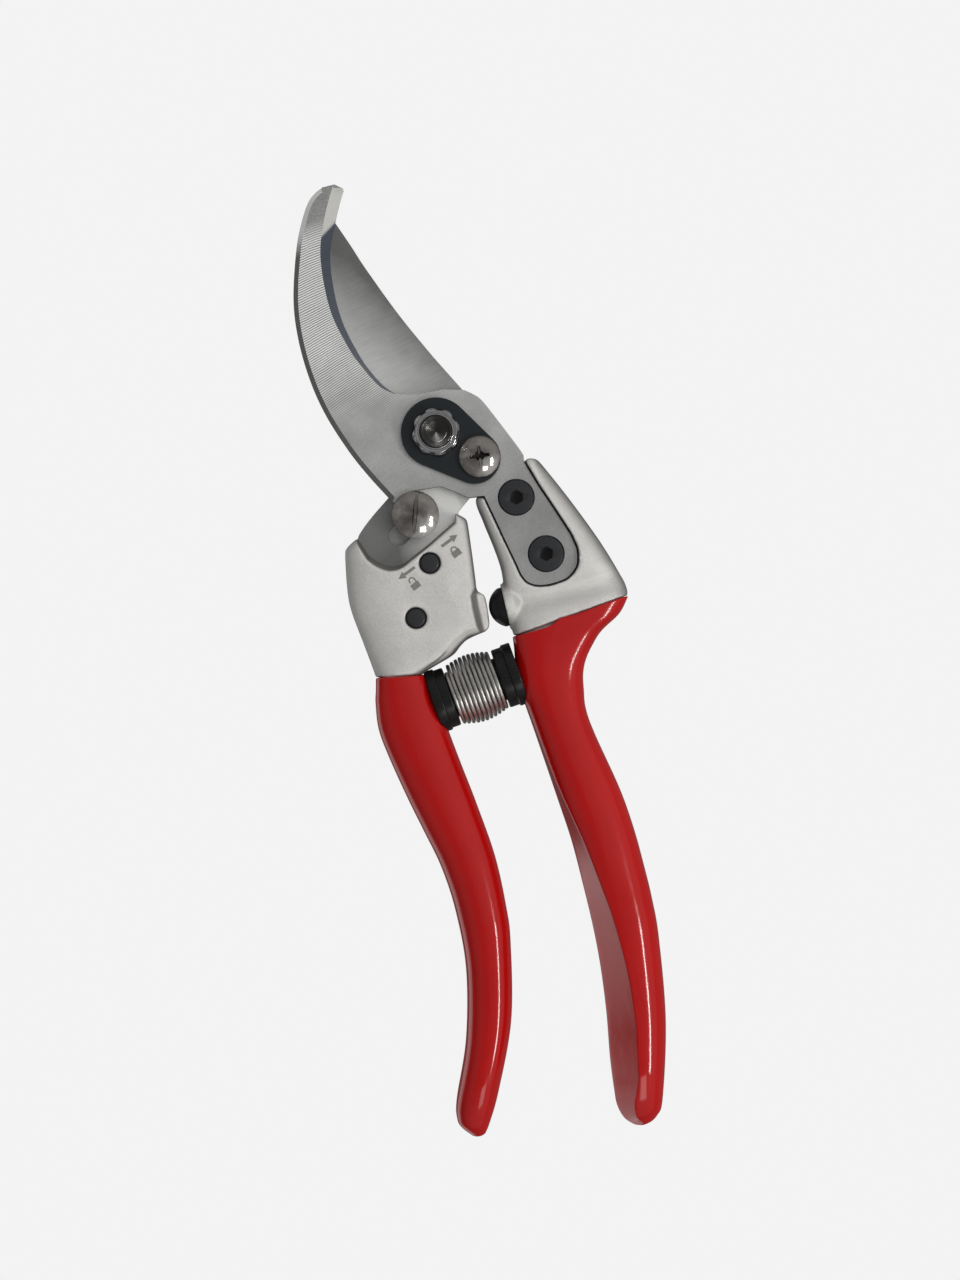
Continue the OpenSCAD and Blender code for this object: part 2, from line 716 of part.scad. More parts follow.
module blade_screw_lower() {
    blade_screw(1);
}

module spring_cup_blade_side() {
    color("black") on_spring_axis(-blade_cup_out) spring_cup(blade_cup_out - blade_cup_in);
}

// The closed spring as a plain barrel of its outer size
module coil_spring() {
    free = 0.05;
    length = blade_cup_in + hook_cup_in - 2 * free;
    steps = 8;
    swell = [for (i = [0 : steps]) spring_end_r + (spring_r - spring_end_r) * sin(180 * i / steps)];
    color("darkgray") on_spring_axis(-blade_cup_in + free) rotate_extrude() polygon(concat(
        [for (i = [0 : steps]) [swell[i], length * i / steps]],
        [for (i = [steps : -1 : 0]) [swell[i] - wire_d, length * i / steps]]
    ));
}

// ---- Lock catch ---------------------------------------------------------------------------------

module lock_stud() {
    head_h_mid = 2.4;
    slot_angle = 72;
    color("whitesmoke") {
        translate([stud_locked_at[0], stud_locked_at[1], stud_head_z]) difference() {
            dome(stud_head_r, 0.5, head_h_mid);
            rotate([0, 0, slot_angle]) translate([-stud_head_r - over, -0.55, head_h_mid - 1.1])
                cube([2 * (stud_head_r + over), 1.1, 2]);
        }
        rod(stud_locked_at, stud_r, slider_z + 0.4, stud_head_z + 0.01);
    }
}

// Oblong plate between the blade and the thumb button, which covers the slot from behind
module lock_slide_plate() {
    z0 = slider_z + slider_t + 0.02;
    z1 = slider_z + slider_t + slide_plate_t;
    color("silver") difference() {
        teardrop(
            stud_locked_at, slider_r, stud_locked_at + slide_plate_small_at * lock_dir,
            slide_plate_small_r, z0, z1
        );
        rod(stud_locked_at, stud_r + 0.05, z0 - over, z1 + over);
    }
}

// Thumb button behind the blade, with grip grooves across its face
module lock_slider() {
    groove_w = 0.6;
    color("dimgray") difference() {
        rod(stud_locked_at, slider_r, slider_z, slider_z + slider_t);
        rod(stud_locked_at, stud_r + 0.02, slider_z + 0.3, slider_z + slider_t + over);
        translate([stud_locked_at[0], stud_locked_at[1], slider_z])
            rotate([0, 0, atan2(lock_dir[1], lock_dir[0])])
                for (i = [-2 : 2])
                    translate([i * 1.5 - groove_w / 2, -6, -over]) cube([groove_w, 12, over + 0.25]);
    }
}

hook_blade();
hook_handle();
hook_grip();
hook_screw_upper();
hook_screw_lower();
bumper();
spring_cup_hook_side();
pivot_bolt();
pivot_washer();
pivot_nut();
nut_lock_plate();
nut_lock_screw();
cutting_blade();
blade_handle();
blade_grip();
blade_screw_upper();
blade_screw_lower();
spring_cup_blade_side();
coil_spring();
lock_stud();
lock_slide_plate();
lock_slider();
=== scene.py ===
"""Looks of a pair of bypass pruning shears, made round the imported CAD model.

Lengths are millimetres in the CAD model's own frame until place() turns a finished piece into metres.
"""

import contextlib
import json
import math

import bmesh
import bpy
import numpy as np
from mathutils import Matrix, Vector

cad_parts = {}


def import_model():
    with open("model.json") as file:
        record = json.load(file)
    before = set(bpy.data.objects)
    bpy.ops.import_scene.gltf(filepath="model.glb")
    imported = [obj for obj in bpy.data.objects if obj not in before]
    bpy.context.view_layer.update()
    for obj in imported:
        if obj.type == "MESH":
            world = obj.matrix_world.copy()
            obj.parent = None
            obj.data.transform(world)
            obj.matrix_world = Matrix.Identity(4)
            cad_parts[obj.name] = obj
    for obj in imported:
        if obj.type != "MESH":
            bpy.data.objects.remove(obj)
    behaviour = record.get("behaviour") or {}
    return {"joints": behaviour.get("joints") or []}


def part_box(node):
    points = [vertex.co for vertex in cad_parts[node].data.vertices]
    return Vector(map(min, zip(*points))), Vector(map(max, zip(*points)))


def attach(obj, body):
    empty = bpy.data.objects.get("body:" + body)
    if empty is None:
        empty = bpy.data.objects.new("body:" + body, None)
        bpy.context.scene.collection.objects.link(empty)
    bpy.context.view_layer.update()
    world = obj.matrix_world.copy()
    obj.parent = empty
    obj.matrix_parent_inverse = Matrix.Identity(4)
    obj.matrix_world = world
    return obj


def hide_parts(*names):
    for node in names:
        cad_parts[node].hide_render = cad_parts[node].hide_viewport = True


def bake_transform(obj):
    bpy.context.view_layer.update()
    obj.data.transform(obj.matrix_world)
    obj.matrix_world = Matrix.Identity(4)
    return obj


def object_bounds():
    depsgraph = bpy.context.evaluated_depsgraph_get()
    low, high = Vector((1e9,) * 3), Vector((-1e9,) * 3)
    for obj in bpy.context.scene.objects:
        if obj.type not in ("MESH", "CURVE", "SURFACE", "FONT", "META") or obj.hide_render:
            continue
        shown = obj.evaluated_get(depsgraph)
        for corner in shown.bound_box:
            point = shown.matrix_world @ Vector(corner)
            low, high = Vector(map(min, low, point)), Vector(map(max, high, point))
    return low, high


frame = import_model()
CAD_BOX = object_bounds()
MM = 0.001


# ---- Sizes worked out from the frame ----


def span(node):
    """Lowest and highest corner of a CAD node, in millimetres."""
    low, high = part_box(node)
    return np.array(low) / MM, np.array(high) / MM


def middle(node):
    low, high = span(node)
    return (low + high) / 2


def levels(node):
    """Lowest and highest z of a CAD node."""
    low, high = span(node)
    return low[2], high[2]


def half_width(node, axis=0):
    low, high = span(node)
    return (high[axis] - low[axis]) / 2


OBJECT_MIDDLE = (np.array(CAD_BOX[0]) + np.array(CAD_BOX[1])) / 2 / MM
SHEAR_Z, HOOK_FRONT = levels("hook_blade")
BLADE_BACK, BLADE_FRONT = levels("cutting_blade")
LOCK_PLATE_FRONT = levels("nut_lock_plate")[1]
# Sizes inside the pieces, which their boxes don't give
CAST_BACK, CAST_FRONT = 2.6, 12.4
NOSE_Z = 9.3
SHANK_R = 2.05
BOLT_R, THREAD_R = 4.0, 3.2

LOCK_SCREW_AT = middle("nut_lock_screw")[:2]
HOOK_SCREW_AT = [middle("hook_screw_upper")[:2], middle("hook_screw_lower")[:2]]
BLADE_SCREW_AT = [middle("blade_screw_upper")[:2], middle("blade_screw_lower")[:2]]
STUD_AT = middle("lock_stud")[:2]
LOCK_JOINT = next(j for j in frame["joints"] if j["name"] == "lock_slide")
LOCK_DIR = np.array(LOCK_JOINT["axis"][:2], float)
LOCK_TRAVEL = 5.3
BUMPER_AT = middle("bumper")
SPRING_AT = middle("coil_spring")
SPRING_TILT = math.radians(6)
CUP_OUT = {-1: 9.3, 1: 9.2}


# ---- Curves ----


def curve(points, steps=8):
    """Smooth open curve through the points."""
    p = np.array(points, float)
    last = len(p) - 1
    t = np.arange(steps)[:, None] / steps
    parts = []
    for i in range(last):
        a, b, c, d = p[max(i - 1, 0)], p[i], p[i + 1], p[min(i + 2, last)]
        parts.append(
            0.5 * (2 * b + (c - a) * t + (2 * a - 5 * b + 4 * c - d) * t**2
                   + (3 * b - a - 3 * c + d) * t**3)
        )
    return np.vstack(parts + [p[-1:]])


def inward(outline):
    """Unit normals into an outline that runs anticlockwise."""
    along = np.roll(outline, -1, 0) - np.roll(outline, 1, 0)
    along /= np.linalg.norm(along, axis=1)[:, None]
    return np.stack([-along[:, 1], along[:, 0]], axis=1)


def grown(outline, by):
    return outline - by * inward(outline)


def circle(at, r, count=64):
    turn = np.arange(count) * 2 * np.pi / count
    return np.stack([at[0] + r * np.cos(turn), at[1] + r * np.sin(turn)], axis=1)


def teardrop(big_at, big_r, small_at, small_r, count=48):
    """Outline round two circles, the first one larger, with straight sides between them."""
    way = np.array(small_at, float) - big_at
    along = math.atan2(way[1], way[0])
    side = math.acos((big_r - small_r) / np.linalg.norm(way))
    small = np.linspace(along - side, along + side, count)
    big = np.linspace(along + side, along + 2 * np.pi - side, count)
    return np.vstack([
        small_at + small_r * np.stack([np.cos(small), np.sin(small)], axis=1),
        big_at + big_r * np.stack([np.cos(big), np.sin(big)], axis=1),
    ])


# ---- Outlines, anticlockwise from the tip, as in the CAD source ----

hook_outer = curve([
    (-11.3, 53.65), (-12.5, 53.2), (-14.5, 51.6), (-16.6, 48.3), (-19.1, 42.8), (-22, 33),
    (-22.9, 24.9), (-22.5, 16.4), (-21, 8.7), (-18.25, 0.85), (-15.4, -5.2), (-11.8, -11.6),
])
hook_notch = [
    (-10.8, -12.2), (-9.7, -11.2), (-8.3, -10.5), (-6.6, -10.3), (-1.6, -10.7), (0.9, -12.3),
    (3.5, -14.25), (6.6, -14.6),
]
tang_left = [(7.6, -19.1), (8.7, -24.4), (9.9, -29.8)]
tang_end = curve([
    (10.25, -31.8), (11.3, -33.7), (13.6, -34.8), (16.6, -34.95), (19.4, -34.4), (21.6, -32.4),
    (22.3, -29.3)
])
tang_right = [(21.7, -26.2), (19.8, -20.9), (17.6, -15.1), (15.95, -9.9)]
hook_right = curve([
    (16.2, -8.5), (15.45, -6.5), (12.6, -0.1), (10.5, 4.3), (9.1, 5.9), (7.5, 7.15)
])
shear_start = [(3.6, 8.2), (-2.1, 8.5), (-5, 9.1)]
shear_edge = curve([
    (-6.1, 9.65), (-8.2, 12), (-10.2, 15.6), (-11.7, 19.5), (-13.4, 26.6), (-13.6, 34.1),
    (-12.6, 41), (-10.1, 46.8), (-8.2, 50.6), (-7.1, 52.5),
])
hook_tip = [(-8.6, 53.7)]
shear_edge_front = curve([
    (-6.3, 9.5), (-9.1, 11.9), (-11.7, 16.7), (-13.2, 20.4), (-15, 27.4), (-15.25, 34.1),
    (-14.5, 40.9), (-12.5, 46.6), (-10.4, 50.9), (-9.1, 53.1),
])
hook_outline = np.vstack([
    hook_outer, hook_notch, tang_left, tang_end, tang_right, hook_right, shear_start,
    shear_edge, hook_tip,
])

blade_edge = curve([
    (-11.2, 45.9), (-14.4, 41.5), (-16.6, 35), (-17, 28), (-16, 20), (-14.2, 12), (-12.3, 5)
])
blade_root = [(-11.4, 0.5), (-11.3, -5), (-12.2, -10.2)]
blade_tang = curve([
    (-15.85, -12.8), (-18.75, -15.15), (-20.5, -17.2), (-20.6, -20.2), (-19.7, -26.5), (-18.4, -33.5),
    (-16.3, -39), (-12.4, -40.9), (-8.4, -38.6), (-5.6, -33.5), (-3.3, -27.5), (-1.2, -21.5),
    (0.9, -16.2),
])
blade_heel = curve([(4.6, -13.4), (8.2, -8.4), (10.3, -3.5), (10, 1.5), (7.5, 7.1)])
blade_spine = curve([(2.9, 15.6), (-1.8, 25.2), (-6.25, 35.9), (-8.2, 41.3), (-10.2, 46.5)])
blade_outline = np.vstack([blade_edge, blade_root, blade_tang, blade_heel, blade_spine])

# Hollow that the lock's parts move in, the low nose, and the sloped rim below the raised plate
scoop = np.vstack([[(-20.6, -14), (-20.4, -17.2)], curve([
    (-18.9, -21.2), (-17, -23.1), (-14.9, -24.2), (-12.6, -24.2), (-10.2, -23.1), (-6.6, -21.4),
    (-3.4, -19.7), (0.2, -17.8),
]), [(0.4, -14)]])
nose = [(4, -32.4), (0.9, -32.5), (0, -33.6), (-0.2, -36), (-0.2, -44), (4, -44)]
rim = np.array([
    (-13.1, -46.9), (-10.2, -45.95), (-7.3, -44.9), (-5.4, -43.5), (-3.1, -42.15), (2.5, -41.8)
])
rim_top = np.array([
    (-13.3, -45.9), (-10.6, -44.6), (-7.9, -43.1), (-6.1, -41.5), (-3.6, -40.1), (2, -39.7)
])


# ---- Handle rails: (y, value) from the top down ----


def rail(points):
    return curve(points, 12)


def along_rail(table, y):
    """The rail's value at each y."""
    table = np.array(table, float)
    return np.interp(-y, -table[:, 0], table[:, 1])


# left, right, back and front are the handle's four sides, and square_left and square_right how
# boxy its corners are. top is where a casting starts. border is where a grip starts, slant how
# far that border leans, wander how it runs on the front from its left (-1) to its right (1),
# and end where the grip ends. facet is the side with the flat facet, -1 for left, 1 for right
# and 0 for none. cup tells which of the spring's cups sits in the grip, as cup_frame() takes it.
blade_cast = dict(
    left=rail([
        (-16.8, -20.1), (-17.6, -21.7), (-18.5, -23.1), (-19.6, -23.7), (-26.6, -24.9),
        (-31.2, -25.1), (-38.2, -24.2), (-45, -23.35), (-48, -23.3),
    ]),
    right=rail([
        (-16.8, 0.2), (-17.6, 1.2), (-18.5, 2), (-19.7, 2), (-25.5, 1.5), (-30.5, 1), (-33, 0.8),
        (-34, 1.9), (-35.5, 2.1), (-38.5, 1.9), (-40.6, 1.5), (-41.6, 0.1), (-42, -3.1),
        (-43.3, -5.3), (-44.7, -7.2), (-46.7, -13.3), (-48, -13.4),
    ]),
    back=[(-16, CAST_BACK), (-38, CAST_BACK), (-46, 1.4)],
    front=[(-16, CAST_FRONT), (-40, CAST_FRONT), (-46, 13)],
    square_left=[(-16, 2.9), (-38, 2.7), (-46, 2.9), (-50, 2.9)],
    square_right=[(-16, 9), (-40, 9), (-46, 3.15), (-50, 2.9)],
    facet=0, top=-16.8,
)
blade_grip = dict(
    left=rail([
        (-44, -23.1), (-47.8, -24), (-50.5, -24.7), (-55.8, -25.3), (-61.6, -24.6),
        (-70.7, -22.8), (-78, -21.1), (-86, -19.3), (-95.3, -18.5), (-107.3, -19.1),
        (-121.3, -22.4), (-132.7, -27), (-136.7, -27.85), (-138.7, -27.3), (-141.2, -25.2),
    ]),
    right=rail([
        (-44, -14.4), (-47, -13.65), (-50.8, -12.7), (-55.1, -11.9), (-59.8, -11.3),
        (-66.7, -10.3), (-74.7, -9.1), (-86, -7.8), (-96.7, -7.9), (-104, -8.7), (-119.3, -12.15),
        (-132.7, -17.9), (-138.7, -21.2), (-141.2, -23),
    ]),
    back=rail([
        (-44, 1.1), (-50, 0.8), (-60, 0.4), (-80, 0.1), (-100, 0), (-126, 0.1), (-133, 0.9),
        (-138.2, 2.9), (-141.2, 5.6),
    ]),
    front=rail([
        (-44, 13.3), (-50, 13.6), (-60, 14), (-80, 14.4), (-100, 14.5), (-126, 14.3),
        (-133, 13.5), (-138.2, 11.5), (-141.2, 8.8),
    ]),
    facet=1, border=-46.35, slant=-0.75, end=-141.2, cup=-1,
)
hook_cast = dict(
    left=rail([
        (-9.3, 15.9), (-11.1, 12.2), (-13, 8.3), (-14.7, 4.8), (-19.7, 5.2), (-24.7, 6),
        (-29.3, 6.5), (-33, 6.35), (-41.6, 6), (-44, 5.8), (-48, 5.3),
    ]),
    right=rail([
        (-9.3, 17.5), (-9.8, 18.7), (-12.3, 20.1), (-18.4, 23), (-25.1, 25.9), (-30.5, 28),
        (-36.3, 29.9), (-38.6, 30.5), (-41, 30.3), (-44, 28),
    ]),
    back=[(-9, CAST_BACK), (-34, CAST_BACK), (-42, 1.4)],
    front=rail([
        (-9.3, 11.6), (-12, CAST_FRONT), (-20, CAST_FRONT), (-32, CAST_FRONT), (-36.8, 11.3),
        (-40.5, 12.6), (-44, 13),
    ]),
    square_left=[(-9, 4.5), (-34, 4.5), (-44, 3.2), (-50, 2.9)],
    square_right=[(-9, 3.4), (-34, 3.4), (-44, 3.2), (-50, 2.9)],
    facet=0, top=-9.3,
)
hook_grip = dict(
    left=rail([
        (-40, 5.9), (-44.7, 5.6), (-50.5, 4.8), (-54.3, 4.6), (-57.8, 5), (-64.7, 5.7), (-78, 6.95),
        (-87.3, 7.75), (-96.7, 7.95), (-105.3, 7.95), (-113.3, 7.6), (-122.7, 6.65), (-132, 5.25),
        (-139, 4.55), (-142, 4.5), (-144.7, 5.4), (-146.6, 7.5),
    ]),
    right=rail([
        (-40, 31.2), (-41.3, 30.4), (-44.1, 28), (-46.6, 23.8), (-48.9, 21.4), (-51.6, 19.3),
        (-54.3, 18.1), (-57.4, 17.5), (-61.3, 17), (-66.7, 17.6), (-78.7, 20), (-87.3, 20.95),
        (-95.3, 21.25), (-102, 21.3), (-110, 20.85), (-126.7, 18.4), (-142, 14.2), (-145.3, 12.3),
        (-146.6, 10.2),
    ]),
    back=rail([
        (-40, 1.3), (-50, 0.8), (-60, 0.4), (-80, 0.1), (-100, 0), (-130, 0.1), (-138, 0.9),
        (-143.5, 2.9), (-146.6, 5.8),
    ]),
    front=rail([
        (-40, 13.1), (-50, 13.6), (-60, 14), (-80, 14.4), (-100, 14.5), (-130, 14.3),
        (-138, 13.5), (-143.5, 11.5), (-146.6, 8.6),
    ]),
    wander=rail([(1, 0.1), (0.55, 0.1), (0, 0), (-0.15, 0.35), (-0.4, -0.55), (-1, 0)]),
    facet=-1, border=-42.35, slant=1.35, end=-146.6, cup=1,
)
squareness = [(-9, 5), (-34, 5), (-44, 3.2), (-56, 2.6), (-80, 2.35), (-150, 2.2)]
facet_depth = [
    (-58, 0), (-75, 1.2), (-87, 2.6), (-102, 4.2), (-117, 5.2), (-134, 5.8), (-147, 2)
]

GRIP_WALL = 1.2
GRIP_GAP = 0.06
TANG_GAP = 0.35
# How far a border's slant shows in the casting above it and in the grip below
ABOVE_BORDER, BELOW_BORDER = 6, 12


def squared(c, n):
    """Cosine or sine bent towards a box, squarer with a larger n."""
    return np.sign(c) * np.abs(c) ** (2 / n)


def handle_rings(handle, ys, slants, inset=0.0, sides=128):
    """Rings round a handle at the heights ys, as an array of rings, sides and x, y, z.
    A ring leans by its slant, and lies inside the handle's surface by the inset."""
    a = (np.arange(sides) + 0.5) * 2 * np.pi / sides
    y = np.array(ys, float)[:, None]
    left_n = along_rail(handle.get("square_left", squareness), y)
    right_n = along_rail(handle.get("square_right", squareness), y)
    n = np.where(np.cos(a) < 0, left_n, right_n)
    c = squared(np.cos(a), n)
    at = y + np.array(slants, float)[:, None] * c
    left = along_rail(handle["left"], at) + inset
    right = along_rail(handle["right"], at) - inset
    low = along_rail(handle["back"], at) + inset
    high = along_rail(handle["front"], at) - inset
    x = (left + right) / 2 + c * (right - left) / 2
    z = (low + high) / 2 + squared(np.sin(a), n) * (high - low) / 2
    if handle["facet"]:
        x = with_facet(handle["facet"], x, z, at, left, right, low, high)
    return np.stack([x, at, z], axis=-1)


def with_facet(side, x, z, y, left, right, low, high):
    """x pulled in to the flat facet down a grip's inner side, with a slightly soft ridge."""
    ridge, rise, widest, softness = 0.3, 0.65, 0.45, 0.25
    up = (z - low if side < 0 else high - z) / (high - low)
    depth = np.minimum(along_rail(facet_depth, y), widest * (right - left)) * (up - ridge) / rise
    if side < 0:
        gap = x - (left + depth)
        return (x + left + depth + np.sqrt(gap**2 + softness**2)) / 2 - softness / 2
    gap = (right - depth) - x
    return (x + right - depth - np.sqrt(gap**2 + softness**2)) / 2 + softness / 2


# ---- Mesh tools ----


def linked(name, data):
    """Object in the scene for a mesh, light or camera."""
    obj = bpy.data.objects.new(name, data)
    bpy.context.scene.collection.objects.link(obj)
    return obj


@contextlib.contextmanager
def editing(mesh):
    """Opens a mesh as a bmesh, and writes the result back to it."""
    bm = bmesh.new()
    bm.from_mesh(mesh)
    yield bm
    bm.to_mesh(mesh)
    bm.free()


def mesh_object(name, points, faces):
    """Object of the points and faces, whose faces all look outward."""
    mesh = bpy.data.meshes.new(name)
    mesh.from_pydata([tuple(map(float, p)) for p in points], [], faces)
    with editing(mesh) as bm:
        bmesh.ops.recalc_face_normals(bm, faces=bm.faces)
    return linked(name, mesh)


def skin(name, rings):
    """Closed solid through equal rings."""
    rings = np.array(rings)
    count, sides = rings.shape[:2]
    faces = [
        [i * sides + k, i * sides + (k + 1) % sides,
         (i + 1) * sides + (k + 1) % sides, (i + 1) * sides + k]
        for i in range(count - 1) for k in range(sides)
    ]
    faces.append(list(range(sides)))
    faces.append(list(range((count - 1) * sides, count * sides)))
    return mesh_object(name, rings.reshape(-1, 3), faces)


def prism(name, outline, low, high, low_shift=(0, 0), high_shift=(0, 0)):
    """Solid of an outline between two heights, where it may be shifted."""
    flat = np.array(outline, float)
    ends = ((low, low_shift), (high, high_shift))
    return skin(name, [np.column_stack([flat + by, np.full(len(flat), z)]) for z, by in ends])


def lathe(name, profile, segments=96, closed=False, radius=None):
    """Solid turned round Z from (radius, z) points. radius(r, angles) may bend its rings."""
    angles = np.arange(segments) * 2 * np.pi / segments
    points, rows = [], []
    for r, z in profile:
        if r == 0:
            rows.append([len(points)])
            points.append((0, 0, z))
            continue
        rows.append(list(range(len(points), len(points) + segments)))
        ring = circle((0, 0), radius(r, angles) if radius else r, segments)
        points += [(x, y, z) for x, y in ring]
    faces = []
    for a, b in zip(rows, rows[1:] + rows[:1] if closed else rows[1:]):
        for k in range(segments):
            near, far = k % len(a), (k + 1) % len(a)
            face = [a[near], a[far], b[(k + 1) % len(b)], b[k % len(b)]]
            faces.append(list(dict.fromkeys(face)))
    return mesh_object(name, points, faces)


def moved(obj, at=(0, 0, 0), spin=0.0, flip=False):
    """Turns obj about Z, after turning it over about X if flip, and moves it to at."""
    over = Matrix.Rotation(math.pi, 4, "X") if flip else Matrix.Identity(4)
    obj.data.transform(Matrix.Translation(Vector(at)) @ Matrix.Rotation(spin, 4, "Z") @ over)
    return obj


def framed(obj, matrix):
    obj.data.transform(matrix)
    return obj


def arc(centre, r, start, end, count):
    """Points of an arc in a lathe's profile, by angles in degrees from the radius direction."""
    return [
        (centre[0] + r * math.cos(math.radians(a)), centre[1] + r * math.sin(math.radians(a)))
        for a in np.linspace(start, end, count)
    ]


def dome_profile(r, rim, height, count=14):
    """Profile of a domed head: a rounded rim, then an arc up to the height."""
    big = (r * r + (height - rim) ** 2) / (2 * (height - rim))
    reach = math.asin(r / big)
    top = [
        (big * math.sin(t), height - big * (1 - math.cos(t)))
        for t in np.linspace(reach, 0, count)
    ]
    top[-1] = (0, height)
    return [(0, 0), (r - 0.15, 0), (r, 0.15), *top]


def bake(obj):
    """Applies the object's modifiers to its mesh."""
    bpy.context.view_layer.update()
    graph = bpy.context.evaluated_depsgraph_get()
    mesh = bpy.data.meshes.new_from_object(obj.evaluated_get(graph))
    obj.modifiers.clear()
    obj.data = mesh
    return obj


def cut(obj, *tools, operation="DIFFERENCE"):
    """Takes the tools out of obj, or joins them to it, and removes them."""
    for tool in tools:
        step = obj.modifiers.new("cut", "BOOLEAN")
        step.operation = operation
        step.solver = "EXACT"
        step.object = tool
        name = tool.name
        bake(obj)
        bpy.data.objects.remove(tool)
        if not obj.data.polygons:
            raise ValueError(f"{name} left nothing of {obj.name}")
    return obj


def bevelled(obj, width, angle=28, segments=2):
    """Rounds every edge sharper than the angle."""
    flat = math.radians(0.5)
    with editing(obj.data) as bm:
        bmesh.ops.remove_doubles(bm, verts=bm.verts, dist=0.002)
        bmesh.ops.dissolve_limit(bm, angle_limit=flat, verts=bm.verts, edges=bm.edges)
    step = obj.modifiers.new("bevel", "BEVEL")
    step.width = width
    step.segments = segments
    step.limit_method = "ANGLE"
    step.angle_limit = math.radians(angle)
    return bake(obj)


def remeshed(obj, passes):
    """Rebuilds obj as one even skin and softens it, as a casting's edges are."""
    step = obj.modifiers.new("remesh", "REMESH")
    step.mode = "VOXEL"
    step.voxel_size = 0.28
    step = obj.modifiers.new("smooth", "SMOOTH")
    step.factor = 0.5
    step.iterations = passes
    return bake(obj)


def shaded(obj, angle):
    """Smooth shading, with a hard edge where faces meet at more than the angle."""
    with editing(obj.data) as bm:
        bmesh.ops.recalc_face_normals(bm, faces=bm.faces)
        for face in bm.faces:
            face.smooth = True
        for edge in bm.edges:
            joined = len(edge.link_faces) == 2
            edge.smooth = joined and edge.calc_face_angle() < math.radians(angle)


def paint_recess_shade(obj, inside, walls_only=False):
    """Marks a driver recess's faces, or only its walls, where inside(x, y, z) holds, for near-black
    painted shade.
    """
    for face in obj.data.polygons:
        wall = abs(face.normal.z) < 0.5
        face.material_index = int(inside(*face.center) and (wall or not walls_only))


def place(obj, body, slot, node=None, angle=35, even=False, material=None):
    """Turns a finished piece into metres and gives it smooth shading, the material for its slot and its
    body, and hides its CAD node.
    Faces marked for painted shade get the near-black recess material."""
    obj.data.transform(Matrix.Scale(MM, 4))
    shaded(obj, angle)
    black = [face.material_index for face in obj.data.polygons]
    obj.data.materials.clear()
    obj.data.materials.append(material or MATERIALS[slot])
    if any(black):
        obj.data.materials.append(PAINTED_RECESS_SHADE)
        obj.data.polygons.foreach_set("material_index", black)
    if even:
        obj.modifiers.new("normals", "WEIGHTED_NORMAL").keep_sharp = True
    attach(obj, body)
    if node:
        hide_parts(node)


# ---- Materials ----


class Signal:
    """Output of a shader node. Arithmetic on it adds the nodes that work it out."""

    def __init__(self, nodes, socket):
        self.nodes, self.socket = nodes, socket

    def __add__(self, other):
        return self.nodes.math("ADD", self, other)

    def __sub__(self, other):
        return self.nodes.math("SUBTRACT", self, other)

    def __rsub__(self, other):
        return self.nodes.math("SUBTRACT", other, self)

    def __mul__(self, other):
        return self.nodes.math("MULTIPLY", self, other)

    def __truediv__(self, other):
        return self.nodes.math("DIVIDE", self, other)

    def remap(self, low, high, to_low=0, to_high=1):
        """Stretches low to high over to_low to to_high, and stops at both ends."""
        return self.nodes.signal("MapRange", (self, low, high, to_low, to_high))


class Nodes:
    """Short calls that add shader nodes to a tree."""

    def __init__(self, tree):
        self.tree = tree

    def link(self, value, socket):
        """Plugs a signal into the socket, or sets the socket to a number or colour."""
        if isinstance(value, Signal):
            self.tree.links.new(value.socket, socket)
        else:
            socket.default_value = (*value, 1) if socket.type == "RGBA" else value

    def add(self, kind, inputs=(), **settings):
        """Adds a node. Its inputs are listed in order, or by name."""
        node = self.tree.nodes.new("ShaderNode" + kind)
        for key, value in settings.items():
            setattr(node, key, value)
        for key, value in inputs.items() if isinstance(inputs, dict) else enumerate(inputs):
            self.link(value, node.inputs[key])
        return node

    def signal(self, kind, inputs=(), output=0, **settings):
        """Adds a node, and gives one of its outputs."""
        return Signal(self, self.add(kind, inputs, **settings).outputs[output])

    def math(self, operation, *values):
        return self.signal("Math", values, operation=operation)

    def parts(self, vector):
        return [Signal(self, part) for part in self.add("SeparateXYZ", [vector]).outputs]

    def joined(self, x, y):
        return self.signal("CombineXYZ", (x, y, 0.0))

    def mix(self, factor, a, b):
        return self.signal("Mix", {0: factor, 6: a, 7: b}, 2, data_type="RGBA")


class Finish(Nodes):
    """One procedural material. position is the place on the piece, in millimetres."""

    def __init__(self, name, metallic=0.0, specular=0.5):
        self.material = bpy.data.materials.new(name)
        self.material.use_nodes = True
        super().__init__(self.material.node_tree)
        self.shader = self.tree.nodes["Principled BSDF"].inputs
        self.shader["Metallic"].default_value = metallic
        self.shader["Specular IOR Level"].default_value = specular
        metres = self.signal("TexCoord", output="Object")
        self.position = self.signal("VectorMath", {0: metres, "Scale": 1 / MM}, operation="SCALE")
        self.relief = None

    def facing(self):
        """Which way the surface faces, in the piece's own frame."""
        return self.signal("TexCoord", output="Normal")

    def noise(self, scale, detail=2.0, roughness=0.5, at=None):
        inputs = {"Vector": at or self.position, "Scale": scale, "Detail": detail}
        return self.signal("TexNoise", {**inputs, "Roughness": roughness})

    def colour(self, factor, a, b):
        """Colours the surface from a to b by a factor."""
        self.link(self.mix(factor, a, b), self.shader["Base Color"])

    def rough(self, factor, low, high):
        self.link(factor.remap(0, 1, low, high), self.shader["Roughness"])

    def bump(self, height, depth, strength=1.0):
        """Adds relief whose full height is depth millimetres."""
        inputs = {"Strength": strength, "Distance": depth * MM, "Height": height}
        if self.relief:
            inputs["Normal"] = self.relief
        self.relief = self.signal("Bump", inputs)
        self.link(self.relief, self.shader["Normal"])


def grinding(f, slope_of_y, origin_x):
    """x, y and the distance across a plate's grinding lines, which lean more at one end."""
    x, y, _ = f.parts(f.position)
    return x, y, y - (x - origin_x) * y.remap(*slope_of_y)


def even_lines(f, x, across, pitch, wobble):
    drift = f.noise(0.22, at=f.joined(x, across))
    turns = drift * wobble + across / pitch
    return f.math("SINE", turns * (2 * math.pi)).remap(-0.9, 0.25)


